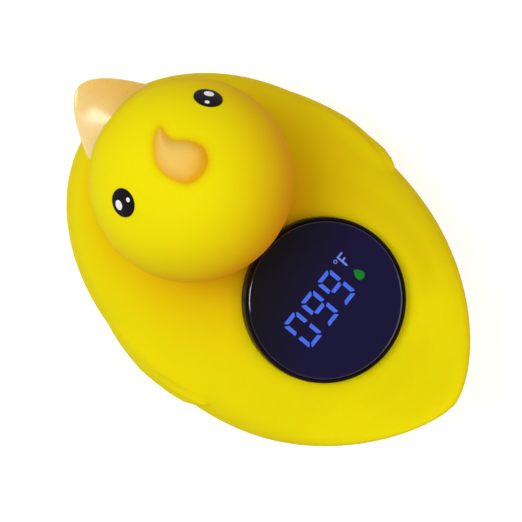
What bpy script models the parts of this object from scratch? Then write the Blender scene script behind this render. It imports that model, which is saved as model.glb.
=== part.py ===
"""Floating duck bath thermometer: a soft hollow duck round a sealed display module.

Frame: metres, +X toward the bill, +Y the duck's left, +Z up. The origin is on the
display's axis, at the level that the duck stands on.
"""

import math

import bmesh
import bpy
from mathutils import Matrix, Vector

MODEL_NAME = "duck_bath_thermometer"
GUIDE_NAME = "guides"

# Clearances
FIT = 0.0003
SEAL_FIT = 0.00015
MERGE = 0.00001
SEAM_MERGE = 0.000003
OVERCUT = 0.004
SHARP_ANGLE = math.radians(38)

# Soft body, seen from above
HULL_HALF_WIDTH = 0.0396
HULL_WIDEST_X = 0.0169
HULL_FRONT_LENGTH = 0.0528
HULL_REAR_LENGTH = 0.0569
TAIL_TAPER = 2.78
TAIL_BLUNTNESS = 0.668

# Soft body, seen from the side
DECK_Z = 0.038
WAIST_DROP = 0.0182
KEEL_DEPTH = 0.0045
CHEST_TOP_POWER = 3.4
CHEST_KEEL_POWER = 2.2
STERN_START = 0.031
TAIL_RISE_START = 0.033
TAIL_LIFT = 0.0111
TAIL_TIP_ROUNDING = 0.004
TAIL_TIP_POWER = 14
SECTION_POWER = 2.6
TAIL_SECTION_POWER = 2.0
SKIN_WALL = 0.0025
SKIN_FLOOR = 0.0042
SOLID_TAIL = 0.008
CAVITY_CLOSING_POWER = 8

# Head
HEAD_RADIUS = 0.0245
HEAD_LIFT = 0.0182
HEAD_SETBACK = 0.0025
NECK_SHARE = 0.77
NECK_FLARE_X = 0.0010
NECK_FLARE_Y = 0.0050
NECK_LEAN = 0.0040
NECK_TOP_SHARE = 0.42
NECK_ROOT_SHARE = 0.55
NECK_FLARE_POWER = 2.4

# Wings: low relief on the sides
WING_RELIEF = 0.0016
WING_ROOT_X = 0.0367
WING_LENGTH = 0.0325
WING_HALF_HEIGHT = 0.0098
WING_CENTRE_Z = 0.0225
WING_TIP_LIFT = 0.006
WING_NARROWING = 0.42
WING_RAMP_SHARE = 0.5
WING_NEAR_SHARE = 0.3
WING_FAR_SHARE = 1.3

# Bill: two wide halves with a mouth line between them
BILL_OVERHANG = 0.0105
BILL_LENGTH = 0.0211
BILL_HALF_WIDTH = 0.0113
BILL_FULL_WIDTH_AT = 0.0128
BILL_FULL_SWELL_AT = 0.0160
BILL_SPREAD_POWER = 0.55
BILL_SWELL_POWER = 0.62
BILL_CROWN = 0.0042
BILL_UNDERSIDE = 0.0012
BILL_DROP = 0.0047
BILL_UPTURN = 0.0027
JAW_SETBACK = 0.0022
JAW_SHARE = 0.86
JAW_CROWN = 0.0010
JAW_DEPTH = 0.0036
JAW_DROP = 0.0012

# Hair tuft: a round pad and a horn that curls forward
TUFT_PAD_RADIUS = 0.0056
TUFT_PAD_TILT = math.radians(19)
TUFT_HEIGHT = 0.0030
TUFT_HORN_RADIUS = 0.0033
TUFT_HORN_REACH = math.radians(24)
TUFT_HORN_SWING = math.radians(9)
TUFT_HORN_TURNS = 0.62
TUFT_HORN_TAPER = 0.7

# Eyes and the sockets of all inlays
EYE_RADIUS = 0.0034
EYE_AZIMUTH = math.radians(54.4)
EYE_ELEVATION = math.radians(36.5)
EYE_PROUD = 0.0002
INLAY_DEPTH = 0.0011
EYE_POST_DEPTH = 0.0044

# Display module, from the top down
BEZEL_RADIUS = 0.0203
BEZEL_RIM = 0.0006
BEZEL_EDGE = 0.0004
BEZEL_OVERLAP = 0.0010
LENS_THICKNESS = 0.0016
LENS_EDGE = 0.0010
LENS_CROWN = 0.0002
LENS_PROUD = 0.0007
LENS_SEAL_THICKNESS = 0.0003
LENS_SEAL_WIDTH = 0.0020
SEAT_SINK = 0.0004
LEDGE_THICKNESS = 0.0010
LEDGE_WIDTH = 0.0031
MASK_THICKNESS = 0.0008
GUIDE_THICKNESS = 0.0013
BOARD_THICKNESS = 0.0016
CHIP_SIZE = 0.0070
CHIP_THICKNESS = 0.0012
CLIP_WIDTH = 0.0040
CLIP_HEIGHT = 0.0010
CLIP_REACH = 0.0012
CLIP_TURN = math.radians(60)
HOUSING_WALL = 0.0018
HOUSING_STEP = 0.0016
HOUSING_EDGE = 0.0006
SPLIT_Z = 0.0200
HOUSING_SEAL_THICKNESS = 0.0005
BEAD_WIDTH = 0.0020
BEAD_HEIGHT = 0.0005
BEAD_FALL = 0.0010

# Digits of the display; text reads toward -Y and stands toward +X
DIGIT_COUNT = 3
DIGIT_HEIGHT = 0.0085
DIGIT_WIDTH = 0.0045
DIGIT_PITCH = 0.00665
DIGIT_START_Y = 0.0091
SEGMENT_WIDTH = 0.0012
SEGMENT_GAP = 0.0003
SEGMENT_SINK = 0.0002
DROP_X = -0.0025
DROP_Y = -0.0103
DROP_RADIUS = 0.0014
DROP_LENGTH = 0.0034
DROP_POINT_POWER = 1.3

# Foot of the module and the battery bay
FLANGE_REACH = 0.0017
FLANGE_THICKNESS = 0.0015
FOOT_EDGE = 0.0003
RIDGE_HEIGHT = 0.0015
RIDGE_REACH = 0.0013
DOOR_MARGIN = 0.0025
DOOR_THICKNESS = 0.0022
DOOR_SEAL_WIDTH = 0.0010
DOOR_SEAL_THICKNESS = 0.0008
DOOR_GROOVE_DEPTH = 0.0007
BAY_WALL = 0.0018
FLOOR_THICKNESS = 0.0015
CELL_RADIUS = 0.0100
CELL_THICKNESS = 0.0032
CELL_CAP_RADIUS = 0.0087
CELL_STEP = 0.0003
CONTACT_THICKNESS = 0.0003
CONTACT_WIDTH = 0.0040
CONTACT_HEIGHT = 0.0052
CONTACT_ANGLE = math.radians(210)

# Screws and sensor pins in the foot
RING_INSET = 0.0014
HOUSING_SCREW_ANGLES = (52, 172, 292)
HOUSING_SCREW_HEAD = 0.0014
HOUSING_SCREW_SHANK = 0.00075
HOUSING_SCREW_HEAD_THICKNESS = 0.0014
HOUSING_SCREW_LENGTH = 0.0135
HOUSING_BOSS_RADIUS = 0.0025
COUNTERBORE_DEPTH = 0.0140
BOSS_RISE = 0.0105
BOSS_HOLE_DEPTH = 0.0089
DOOR_SCREW_ANGLE = math.radians(30)
DOOR_SCREW_INSET = 0.0018
DOOR_SCREW_HEAD = 0.0011
DOOR_SCREW_HEAD_THICKNESS = 0.0006
DOOR_SCREW_SHANK = 0.0006
DOOR_SCREW_LENGTH = 0.0050
DOOR_SCREW_HOLE_DEPTH = 0.0040
DOOR_BOSS_RADIUS = 0.0019
PROBE_ANGLE = 0
WATER_CONTACT_ANGLE = 120
PIN_HEAD = 0.0016
PIN_HEAD_THICKNESS = 0.0007
PIN_STEM = 0.0009
PIN_LENGTH = 0.0062
PIN_RECESS = 0.0003
THERMISTOR_RADIUS = 0.0010
SCREW_EDGE_SHARE = 0.8
SCREW_POINT_SHARE = 0.6

# Facets
HULL_STATIONS = 13
HULL_SIDES = 32
CAVITY_STATIONS = 7
CAVITY_SIDES = 18
HEAD_SEGMENTS = 32
CAVITY_SEGMENTS = 18
NECK_STATIONS = 6
BILL_FACETS = (11, 26)
JAW_FACETS = (10, 22)
HORN_STATIONS = 6
ROUND_STEPS = 30
EDGE_STEPS = 5
WING_POINTS = 28
TUFT_SEGMENTS = 20
HORN_TIP_SEGMENTS = 10
HORN_BEVEL = 3
EYE_STEPS = 24
DROP_POINTS = 11
SMALL_STEPS = 12
POST_TURN = 0.11

# Levels and radii that follow from the sizes above
WAIST_Z = DECK_Z - WAIST_DROP
HEAD_Z = DECK_Z + HEAD_LIFT
HEAD_X = BEZEL_RADIUS + HEAD_SETBACK + HEAD_RADIUS
HEAD_CENTRE = Vector((HEAD_X, 0, HEAD_Z))
SEAT_Z = DECK_Z - SEAT_SINK
BEZEL_BOTTOM_Z = SEAT_Z + FIT
LEDGE_Z = BEZEL_BOTTOM_Z + LEDGE_THICKNESS
LENS_BOTTOM_Z = LEDGE_Z + LENS_SEAL_THICKNESS + 2 * SEAL_FIT
LENS_TOP_Z = LENS_BOTTOM_Z + LENS_THICKNESS
BEZEL_TOP_Z = LENS_TOP_Z - LENS_PROUD
COUNTERBORE_RADIUS = BEZEL_RADIUS - BEZEL_RIM
LENS_RADIUS = COUNTERBORE_RADIUS - FIT
WINDOW_RADIUS = COUNTERBORE_RADIUS - LEDGE_WIDTH
GROOVE_RADIUS = BEZEL_RADIUS - BEZEL_OVERLAP
LIP_RADIUS = GROOVE_RADIUS + FIT
LIP_BOTTOM_Z = SEAT_Z - SKIN_WALL
SHOULDER_Z = LIP_BOTTOM_Z - FIT
BORE_RADIUS = GROOVE_RADIUS - HOUSING_WALL
BODY_RADIUS = GROOVE_RADIUS + HOUSING_STEP
SHAFT_RADIUS = BODY_RADIUS + FIT
INNER_RADIUS = BODY_RADIUS - HOUSING_WALL
RING_RADIUS = INNER_RADIUS - RING_INSET
FLANGE_RADIUS = BODY_RADIUS + FLANGE_REACH
DOOR_RADIUS = RING_RADIUS - DOOR_MARGIN
DOOR_SCREW_RADIUS_AT = DOOR_RADIUS - DOOR_SCREW_INSET
MASK_BOTTOM_Z = LEDGE_Z - MASK_THICKNESS
GUIDE_TOP_Z = BEZEL_BOTTOM_Z - FIT
GUIDE_BOTTOM_Z = GUIDE_TOP_Z - GUIDE_THICKNESS
BOARD_TOP_Z = GUIDE_BOTTOM_Z - FIT
BOARD_BOTTOM_Z = BOARD_TOP_Z - BOARD_THICKNESS
CLIP_TOP_Z = BOARD_BOTTOM_Z - FIT
SHELF_Z = CLIP_TOP_Z - CLIP_HEIGHT - FIT
UPPER_RIM_Z = SPLIT_Z + HOUSING_SEAL_THICKNESS / 2 + SEAL_FIT
LOWER_RIM_Z = SPLIT_Z - HOUSING_SEAL_THICKNESS / 2 - SEAL_FIT
DOOR_RECESS_RADIUS = DOOR_RADIUS + FIT
DOOR_LEDGE_Z = DOOR_THICKNESS - DOOR_GROOVE_DEPTH + DOOR_SEAL_THICKNESS + 2 * SEAL_FIT
FLOOR_Z = DOOR_LEDGE_Z + FLOOR_THICKNESS
BAY_RADIUS = CELL_RADIUS + FIT
CELL_1_Z = DOOR_THICKNESS + FIT
CELL_2_Z = CELL_1_Z + CELL_THICKNESS + FIT
LEAF_Z = CELL_2_Z + CELL_THICKNESS + FIT
BAY_CEILING_Z = LEAF_Z + CONTACT_THICKNESS + FIT
WEB_TOP_Z = BAY_CEILING_Z + FLOOR_THICKNESS
RIDGE_Z = SKIN_FLOOR + FIT
FOOT_RECESS_Z = FLANGE_THICKNESS + FIT


def clear_scene():
    """Remove the objects and collections that the file opened with."""
    for old in list(bpy.data.objects):
        bpy.data.objects.remove(old, do_unlink=True)
    for old in list(bpy.data.collections):
        bpy.data.collections.remove(old)


def new_collection(name):
    """Add a collection to the scene."""
    made = bpy.data.collections.new(name)
    bpy.context.scene.collection.children.link(made)
    return made


clear_scene()
PARTS = new_collection(MODEL_NAME)
GUIDES = new_collection(GUIDE_NAME)


def material(name, colour, roughness, metallic=0.0):
    """Principled material of one colour, which is given as linear red, green and blue."""
    made = bpy.data.materials.new(name)
    made.use_nodes = True
    shader = made.node_tree.nodes["Principled BSDF"]
    shader.inputs["Base Color"].default_value = (*colour, 1.0)
    shader.inputs["Roughness"].default_value = roughness
    shader.inputs["Metallic"].default_value = metallic
    return made


def as_part(obj, look):
    """Show an object as one real piece with its own material."""
    PARTS.objects.link(obj)
    obj.data.materials.append(look)
    obj.data.shade_smooth()
    obj.data.set_sharp_from_angle(angle=SHARP_ANGLE)
    return obj


def as_guide(obj):
    """Keep an object as a cutter or a form that another piece is joined from."""
    GUIDES.objects.link(obj)
    obj.hide_render = True
    obj.display_type = "WIRE"
    return obj


def object_from(bm, name):
    """Turn a bmesh into an object that is in no collection yet."""
    mesh = bpy.data.meshes.new(name)
    bm.to_mesh(mesh)
    bm.free()
    return bpy.data.objects.new(name, mesh)


def combine(target, tool, operation):
    """Add an exact Boolean of a guide to a piece, and close the seam that it leaves."""
    step = target.modifiers.new(operation.lower() + "_" + tool.name, "BOOLEAN")
    step.object = tool
    step.operation = operation
    step.solver = "EXACT"
    seam = target.modifiers.new("seam_" + tool.name, "WELD")
    seam.merge_threshold = SEAM_MERGE


def turned(name, profile, steps=ROUND_STEPS, closed=False, centre=(0, 0, 0)):
    """Revolve a profile of (radius, height) pairs that runs down its outer side."""
    bm = bmesh.new()
    points = [bm.verts.new((radius, 0, height)) for radius, height in profile]
    for first, second in zip(points, points[1:]):
        bm.edges.new((first, second))
    if closed:
        bm.edges.new((points[-1], points[0]))
    obj = object_from(bm, name)
    obj.location = centre
    turn = obj.modifiers.new("turn", "SCREW")
    turn.angle = math.tau
    turn.steps = steps
    turn.render_steps = steps
    turn.use_merge_vertices = True
    turn.merge_threshold = MERGE
    turn.use_normal_calculate = False
    return obj


def drum(radius, bottom, top):
    """Profile of a plain round bar or disc."""
    return [(0, top), (radius, top), (radius, bottom), (0, bottom)]


def band(inner, outer, bottom, top):
    """Profile of a flat ring."""
    return [(inner, top), (outer, top), (outer, bottom), (inner, bottom)]


def quarter_turn():
    """Angles in radians that step through a rounded edge."""
    return [math.radians(90) * step / EDGE_STEPS for step in range(EDGE_STEPS + 1)]


def on_ring(angle, radius=RING_RADIUS):
    """Point at an angle in radians on a circle round the module's axis."""
    return Vector((radius * math.cos(angle), radius * math.sin(angle), 0))


def box_object(name, size, centre, turn=0.0):
    """Box of three side lengths, turned about the vertical through the module's axis."""
    bm = bmesh.new()
    bmesh.ops.create_cube(bm, size=1.0)
    bmesh.ops.scale(bm, vec=size, verts=bm.verts)
    bmesh.ops.translate(bm, vec=centre, verts=bm.verts)
    bmesh.ops.rotate(bm, cent=(0, 0, 0), matrix=Matrix.Rotation(turn, 3, "Z"), verts=bm.verts)
    return object_from(bm, name)


def ball(name, radius, centre, segments):
    """Sphere with its poles on the vertical."""
    bm = bmesh.new()
    bmesh.ops.create_uvsphere(bm, u_segments=segments, v_segments=segments // 2, radius=radius)
    obj = object_from(bm, name)
    obj.location = centre
    return obj


def clamp(value, low=0.0, high=1.0):
    """Keep a value between two limits."""
    return max(low, min(high, value))


def hull_section(share, inset):
    """Half width, waist, top and keel levels and corner power of the body at one station.

    The share runs from 1 at the chest's front, through 0 at the widest place, to -1 at the
    tail's tip. The inset shrinks the form for the hollow inside, which ends before the tip.
    """
    half_width = HULL_HALF_WIDTH - inset
    deck = DECK_Z - inset
    if share >= 0:
        x = HULL_WIDEST_X + share * (HULL_FRONT_LENGTH - inset)
        width = half_width * math.sqrt(1 - share ** 2)
        top_fade = (1 - share ** CHEST_TOP_POWER) ** (1 / CHEST_TOP_POWER)
        keel_fade = (1 - share ** CHEST_KEEL_POWER) ** (1 / CHEST_KEEL_POWER)
        top = WAIST_Z + (deck - WAIST_Z) * top_fade
        keel = WAIST_Z - (WAIST_Z + KEEL_DEPTH - inset) * keel_fade
        return x, width, WAIST_Z, top, keel, SECTION_POWER
    length = HULL_REAR_LENGTH - (SOLID_TAIL if inset > 0 else 0)
    reach = -share * length
    x = HULL_WIDEST_X - reach
    width = half_width * (1 - (-share) ** TAIL_TAPER) ** TAIL_BLUNTNESS
    rise = clamp((reach - TAIL_RISE_START) / (HULL_REAR_LENGTH - TAIL_RISE_START))
    swell = clamp((reach - STERN_START) / (HULL_REAR_LENGTH - STERN_START))
    lean = clamp((reach - HULL_WIDEST_X) / (HULL_REAR_LENGTH - HULL_WIDEST_X)) ** 2
    tip = DECK_Z + TAIL_LIFT
    crest = (TAIL_LIFT + TAIL_TIP_ROUNDING) * rise ** 2 - TAIL_TIP_ROUNDING * rise ** TAIL_TIP_POWER
    keel = (tip + KEEL_DEPTH) * (1 - math.sqrt(1 - swell ** 2)) - KEEL_DEPTH + inset
    waist = WAIST_Z + (tip - WAIST_Z) * lean
    closing = math.sqrt(max(1 - (-share) ** CAVITY_CLOSING_POWER, 0)) if inset > 0 else 1
    top = waist + (deck + crest - waist) * closing
    keel = waist - (waist - keel) * closing
    power = SECTION_POWER + (TAIL_SECTION_POWER - SECTION_POWER) * lean
    return x, width, waist, top, keel, power


def signed_power(value, power):
    """Power that keeps the sign of its base."""
    return math.copysign(abs(value) ** power, value)


def hull_object(name, stations, sides, inset=0.0, floor=0.0, relief=None):
    """Loft of the body: rounded sections from the chest's front to the tail's tip."""
    bm = bmesh.new()
    rings = []
    for step in range(1, 2 * stations):
        angle = math.pi * step / (2 * stations)
        x, width, waist, top, keel, power = hull_section(math.cos(angle), inset)
        width += relief(x) if relief else 0
        ring = []
        for side in range(sides):
            turn = math.tau * side / sides
            across = width * signed_power(math.cos(turn), 2 / power)
            height = signed_power(math.sin(turn), 2 / power)
            level = waist + height * ((top - waist) if height > 0 else (waist - keel))
            ring.append(bm.verts.new((x, across, max(level, floor))))
        rings.append(ring)
    front = hull_section(1.0, inset)
    tail = hull_section(-1.0, inset)
    first = bm.verts.new((front[0], 0, front[2]))
    last = bm.verts.new((tail[0], 0, tail[2]))
    for side in range(sides):
        after = (side + 1) % sides
        bm.faces.new((first, rings[0][side], rings[0][after]))
        bm.faces.new((last, rings[-1][after], rings[-1][side]))
        for ring, following in zip(rings, rings[1:]):
            bm.faces.new((ring[side], following[side], following[after], ring[after]))
    bmesh.ops.recalc_face_normals(bm, faces=bm.faces)
    return object_from(bm, name)


def mesh_of_curve(name, curve, placing=None):
    """Closed mesh object from a curve, placed by a matrix; the curve itself goes."""
    holder = bpy.data.objects.new(name, curve)
    bpy.context.scene.collection.objects.link(holder)
    if placing:
        holder.matrix_world = placing
    bpy.context.view_layer.update()
    evaluated = holder.evaluated_get(bpy.context.evaluated_depsgraph_get())
    mesh = bpy.data.meshes.new_from_object(evaluated)
    bm = bmesh.new()
    bm.from_mesh(mesh)
    bmesh.ops.remove_doubles(bm, verts=bm.verts, dist=MERGE)
    bmesh.ops.recalc_face_normals(bm, faces=bm.faces)
    made = object_from(bm, name)
    made.matrix_world = holder.matrix_world
    bpy.data.objects.remove(holder, do_unlink=True)
    bpy.data.meshes.remove(mesh)
    return made


def outline_prism(name, points, low, high, tilt):
    """Flat curve outline made solid between two levels, then tilted about the origin."""
    curve = bpy.data.curves.new(name, "CURVE")
    curve.dimensions = "2D"
    curve.fill_mode = "BOTH"
    curve.extrude = (high - low) / 2
    spline = curve.splines.new("POLY")
    spline.points.add(len(points) - 1)
    for point, (across, up) in zip(spline.points, points):
        point.co = (across, up, 0, 1)
    spline.use_cyclic_u = True
    return mesh_of_curve(name, curve, tilt @ Matrix.Translation((0, 0, (high + low) / 2)))


def wing_outline(points=WING_POINTS):
    """Drop shape of a folded wing: round at the shoulder and drawn out to a lifted tip."""
    outline = []
    for step in range(points):
        angle = math.tau * step / points
        along = (1 - math.cos(angle)) / 2
        height = WING_HALF_HEIGHT * math.sin(angle) * (1 - WING_NARROWING * along)
        x = WING_ROOT_X - WING_LENGTH * along
        outline.append((x, WING_CENTRE_Z + height + WING_TIP_LIFT * along ** 2))
    return outline


def wing_relief(x):
    """Height of a wing over the body: nothing at the shoulder and full at the tip."""
    return WING_RELIEF * clamp((WING_ROOT_X - x) / (WING_RAMP_SHARE * WING_LENGTH), -1, 1)


def wing(side_name, sign):
    """Raised wing: the widened body inside the wing's outline, on one side."""
    name = "wing_" + side_name
    form = as_guide(hull_object(name, HULL_STATIONS, HULL_SIDES, relief=wing_relief))
    upright = Matrix.Rotation(math.radians(90), 4, "X")
    near, far = sorted((-sign * WING_NEAR_SHARE * HULL_HALF_WIDTH,
                        -sign * WING_FAR_SHARE * HULL_HALF_WIDTH))
    tool = as_guide(outline_prism(name + "_outline", wing_outline(), near, far, upright))
    combine(form, tool, "INTERSECT")
    return form


def head_direction(azimuth, elevation):
    """Unit vector from the head's centre; the azimuth turns from the bill to the left."""
    flat = math.cos(elevation)
    return Vector((flat * math.cos(azimuth), flat * math.sin(azimuth), math.sin(elevation)))


def aimed(direction, twist=0.0):
    """Matrix that stands a form's Z on a direction at the head's centre."""
    turn = direction.to_track_quat("Z", "Y").to_matrix().to_4x4()
    return Matrix.Translation(HEAD_CENTRE) @ turn @ Matrix.Rotation(twist, 4, "Z")


def ellipsoid_bmesh(size, segments):
    """Sphere mesh scaled to three half sizes."""
    bm = bmesh.new()
    bmesh.ops.create_uvsphere(bm, u_segments=segments, v_segments=segments // 2, radius=1)
    bmesh.ops.scale(bm, vec=size, verts=bm.verts)
    return bm


def bill_half(name, setback, share, crown, depth, drop, grow, facets):
    """One half of the bill: a wide rounded wedge that turns up toward its tip."""
    stations, sides = facets
    tip_x = HEAD_X + HEAD_RADIUS + BILL_OVERHANG - setback
    length = BILL_LENGTH - setback
    base = HEAD_Z - BILL_DROP - drop
    bm = bmesh.new()
    rings = []
    for step in range(1, stations + 1):
        along = length * (1 - math.cos(math.pi / 2 * step / stations))
        spread = min((along / BILL_FULL_WIDTH_AT) ** BILL_SPREAD_POWER, 1)
        swell = (1 - (1 - min(along / BILL_FULL_SWELL_AT, 1)) ** 2) ** BILL_SWELL_POWER
        level = base + BILL_UPTURN * (1 - along / length) ** 2
        ring = []
        for side in range(sides):
            turn = math.tau * side / sides
            high = math.sin(turn)
            rise = (crown if high > 0 else depth) * swell * high + math.copysign(grow, high)
            across = (share * BILL_HALF_WIDTH * spread + grow) * math.cos(turn)
            ring.append(bm.verts.new((tip_x - along, across, level + rise)))
        rings.append(ring)
    tip = bm.verts.new((tip_x + grow, 0, base + BILL_UPTURN))
    root = bm.verts.new((tip_x - length - grow, 0, base))
    for side in range(sides):
        after = (side + 1) % sides
        bm.faces.new((tip, rings[0][side], rings[0][after]))
        bm.faces.new((root, rings[-1][after], rings[-1][side]))
        for ring, following in zip(rings, rings[1:]):
            bm.faces.new((ring[side], following[side], following[after], ring[after]))
    bmesh.ops.recalc_face_normals(bm, faces=bm.faces)
    return object_from(bm, name)


def bill_form(name, grow=0.0):
    """Whole bill, from the union of its halves."""
    upper = bill_half(name, 0, 1, BILL_CROWN, BILL_UNDERSIDE, 0, grow, BILL_FACETS)
    lower = as_guide(bill_half(name + "_jaw", JAW_SETBACK, JAW_SHARE, JAW_CROWN, JAW_DEPTH,
                               JAW_DROP, grow, JAW_FACETS))
    combine(upper, lower, "UNION")
    return upper


def tuft_point(share):
    """Middle of the horn at a share of its length, and its radius there."""
    tilt = TUFT_PAD_TILT + TUFT_HORN_REACH * share
    swing = TUFT_HORN_SWING * math.sin(math.pi * TUFT_HORN_TURNS * share)
    flat = Vector((math.sin(tilt), -math.sin(swing), math.cos(tilt) * math.cos(swing)))
    radius = TUFT_HORN_RADIUS * (1 - TUFT_HORN_TAPER * share)
    return HEAD_CENTRE + flat.normalized() * HEAD_RADIUS, radius


def tapered_rod(name, stations, grow):
    """Curve tube through (centre, radius) stations, made a closed mesh."""
    curve = bpy.data.curves.new(name, "CURVE")
    curve.dimensions = "3D"
    curve.bevel_depth = 1.0
    curve.bevel_resolution = HORN_BEVEL
    curve.use_fill_caps = True
    spline = curve.splines.new("POLY")
    spline.points.add(len(stations) - 1)
    for point, (centre, radius) in zip(spline.points, stations):
        point.co = (*centre, 1)
        point.radius = radius + grow
    return mesh_of_curve(name, curve)


def tuft_form(name, grow=0.0):
    """Hair tuft: a low round pad and a tapering horn that curls forward."""
    bm = ellipsoid_bmesh([TUFT_PAD_RADIUS + grow] * 2 + [TUFT_HEIGHT + grow],
                        TUFT_SEGMENTS)
    across = HEAD_CENTRE + head_direction(0, math.pi / 2 - TUFT_PAD_TILT) * HEAD_RADIUS
    lean = Matrix.Rotation(TUFT_PAD_TILT, 4, "Y")
    bmesh.ops.transform(bm, matrix=Matrix.Translation(across) @ lean, verts=bm.verts)
    pad = object_from(bm, name)
    stations = [tuft_point(step / HORN_STATIONS) for step in range(HORN_STATIONS + 1)]
    combine(pad, as_guide(tapered_rod(name + "_horn", stations, grow)), "UNION")
    tip, radius = stations[-1]
    combine(pad, as_guide(ball(name + "_horn_tip", radius + grow, tip, HORN_TIP_SEGMENTS)), "UNION")
    return pad


def eye_form(name, sign, grow=0.0):
    """Round post that cuts an eye's disc or its socket."""
    posed = aimed(head_direction(sign * EYE_AZIMUTH, EYE_ELEVATION))
    low = HEAD_RADIUS - EYE_POST_DEPTH
    post = turned(name, drum(EYE_RADIUS + grow, low, HEAD_RADIUS + OVERCUT), EYE_STEPS)
    post.matrix_world = posed
    return post


def inlay(name, form, look):
    """Coloured piece that sits in a shallow socket of the head, and its socket's cutter."""
    core_name = name + "_core"
    core = as_guide(ball(core_name, HEAD_RADIUS - INLAY_DEPTH + FIT, HEAD_CENTRE, HEAD_SEGMENTS))
    piece = as_part(form(name), look)
    combine(piece, core, "DIFFERENCE")
    bed = as_guide(ball(name + "_bed", HEAD_RADIUS - INLAY_DEPTH, HEAD_CENTRE, HEAD_SEGMENTS))
    socket = as_guide(form(name + "_socket", FIT))
    combine(socket, bed, "DIFFERENCE")
    return piece, socket


def module_space():
    """Cutter for the module: the display's seat, the shaft and the foot's recess."""
    seat = BEZEL_RADIUS + FIT
    ridge = BODY_RADIUS + RIDGE_REACH + FIT
    foot = FLANGE_RADIUS + FIT
    return as_guide(turned("module_space", [
        (0, LENS_TOP_Z + OVERCUT), (seat, LENS_TOP_Z + OVERCUT), (seat, SEAT_Z),
        (LIP_RADIUS, SEAT_Z), (LIP_RADIUS, LIP_BOTTOM_Z), (SHAFT_RADIUS, LIP_BOTTOM_Z),
        (SHAFT_RADIUS, RIDGE_Z + RIDGE_HEIGHT + FIT), (ridge, RIDGE_Z + RIDGE_HEIGHT + FIT),
        (ridge, SKIN_FLOOR), (SHAFT_RADIUS, SKIN_FLOOR), (SHAFT_RADIUS, FOOT_RECESS_Z),
        (foot, FOOT_RECESS_Z), (foot, -OVERCUT), (0, -OVERCUT)]))


def display_bead():
    """Soft raised bead round the display's rim."""
    inner = LIP_RADIUS - FIT
    start = BEZEL_RADIUS + FIT
    top = DECK_Z + BEAD_HEIGHT
    profile = [(inner, SEAT_Z - SKIN_WALL / 2), (inner, top)]
    for angle in quarter_turn():
        profile.append((start + BEAD_WIDTH * math.sin(angle),
                        top - BEAD_FALL * (1 - math.cos(angle))))
    profile.append((start + BEAD_WIDTH, SEAT_Z - SKIN_WALL / 2))
    return as_guide(turned("display_bead", profile, closed=True))


def neck():
    """Neck that carries the head and spreads into the back and the chest."""
    top = HEAD_Z - NECK_TOP_SHARE * HEAD_RADIUS
    bottom = WAIST_Z + NECK_ROOT_SHARE * WAIST_DROP
    slim = NECK_SHARE * HEAD_RADIUS
    bm = bmesh.new()
    rings = []
    for step in range(NECK_STATIONS):
        share = step / (NECK_STATIONS - 1)
        flare = share ** NECK_FLARE_POWER
        along = slim - NECK_FLARE_X * flare
        across = slim + NECK_FLARE_Y * flare
        middle = HEAD_X - NECK_LEAN * share
        ring = []
        for side in range(HEAD_SEGMENTS):
            turn = math.tau * (side + 0.5) / HEAD_SEGMENTS
            ring.append(bm.verts.new((middle + along * math.cos(turn), across * math.sin(turn),
                                      top + (bottom - top) * share)))
        rings.append(ring)
    bm.faces.new(rings[0])
    bm.faces.new(rings[-1])
    for ring, following in zip(rings, rings[1:]):
        for side in range(HEAD_SEGMENTS):
            after = (side + 1) % HEAD_SEGMENTS
            bm.faces.new((ring[side], following[side], following[after], ring[after]))
    bmesh.ops.recalc_face_normals(bm, faces=bm.faces)
    return as_guide(object_from(bm, "neck"))


def build_duck():
    """Soft hollow body with its head, and the coloured pieces set in the head."""
    yellow = material("soft_yellow", (0.73, 0.56, 0.008), 0.5)
    peach = material("glossy_peach", (0.84, 0.52, 0.14), 0.25)
    amber = material("soft_amber", (0.80, 0.45, 0.07), 0.5)
    black = material("eye_black", (0.012, 0.010, 0.010), 0.35)
    skin = as_part(hull_object("duck_skin", HULL_STATIONS, HULL_SIDES), yellow)
    head = as_guide(ball("head", HEAD_RADIUS, HEAD_CENTRE, HEAD_SEGMENTS))
    for form in (wing("left", 1), wing("right", -1), neck(), head, display_bead()):
        combine(skin, form, "UNION")
    cavity = hull_object("cavity", CAVITY_STATIONS, CAVITY_SIDES, SKIN_WALL, SKIN_FLOOR)
    head_cavity = ball("head_cavity", HEAD_RADIUS - SKIN_WALL, HEAD_CENTRE, CAVITY_SEGMENTS)
    for hollow in (as_guide(cavity), as_guide(head_cavity), module_space()):
        combine(skin, hollow, "DIFFERENCE")
    for name, form, look in (("bill", bill_form, peach), ("tuft", tuft_form, amber)):
        combine(skin, inlay(name, form, look)[1], "DIFFERENCE")
    crown = as_guide(ball("eye_crown", HEAD_RADIUS + EYE_PROUD, HEAD_CENTRE, HEAD_SEGMENTS))
    for side_name, sign in (("left", 1), ("right", -1)):
        def form(name, grow=0.0, side=sign):
            return eye_form(name, side, grow)
        eye, socket = inlay("eye_" + side_name, form, black)
        combine(eye, crown, "INTERSECT")
        combine(skin, socket, "DIFFERENCE")


def segment_outline(centre, length, upright):
    """Six-sided bar with pointed ends, as a list of (x, y) points."""
    half = length / 2
    wide = SEGMENT_WIDTH / 2
    bar = [(half, 0), (half - wide, wide), (wide - half, wide),
           (-half, 0), (wide - half, -wide), (half - wide, -wide)]
    if not upright:
        bar = [(across, -along) for along, across in bar]
    return [(centre[0] + x, centre[1] + y) for x, y in bar]


def digit_segments(centre_y):
    """Outlines of the seven bars of one digit."""
    tall = (DIGIT_HEIGHT - SEGMENT_WIDTH) / 2
    wide = DIGIT_WIDTH - SEGMENT_WIDTH
    outlines = []
    for level in (-tall, 0, tall):
        outlines.append(segment_outline((level, centre_y), wide - SEGMENT_GAP, False))
    for level in (-tall / 2, tall / 2):
        for side in (-wide / 2, wide / 2):
            outlines.append(segment_outline((level, centre_y + side), tall - SEGMENT_GAP, True))
    return outlines


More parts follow.
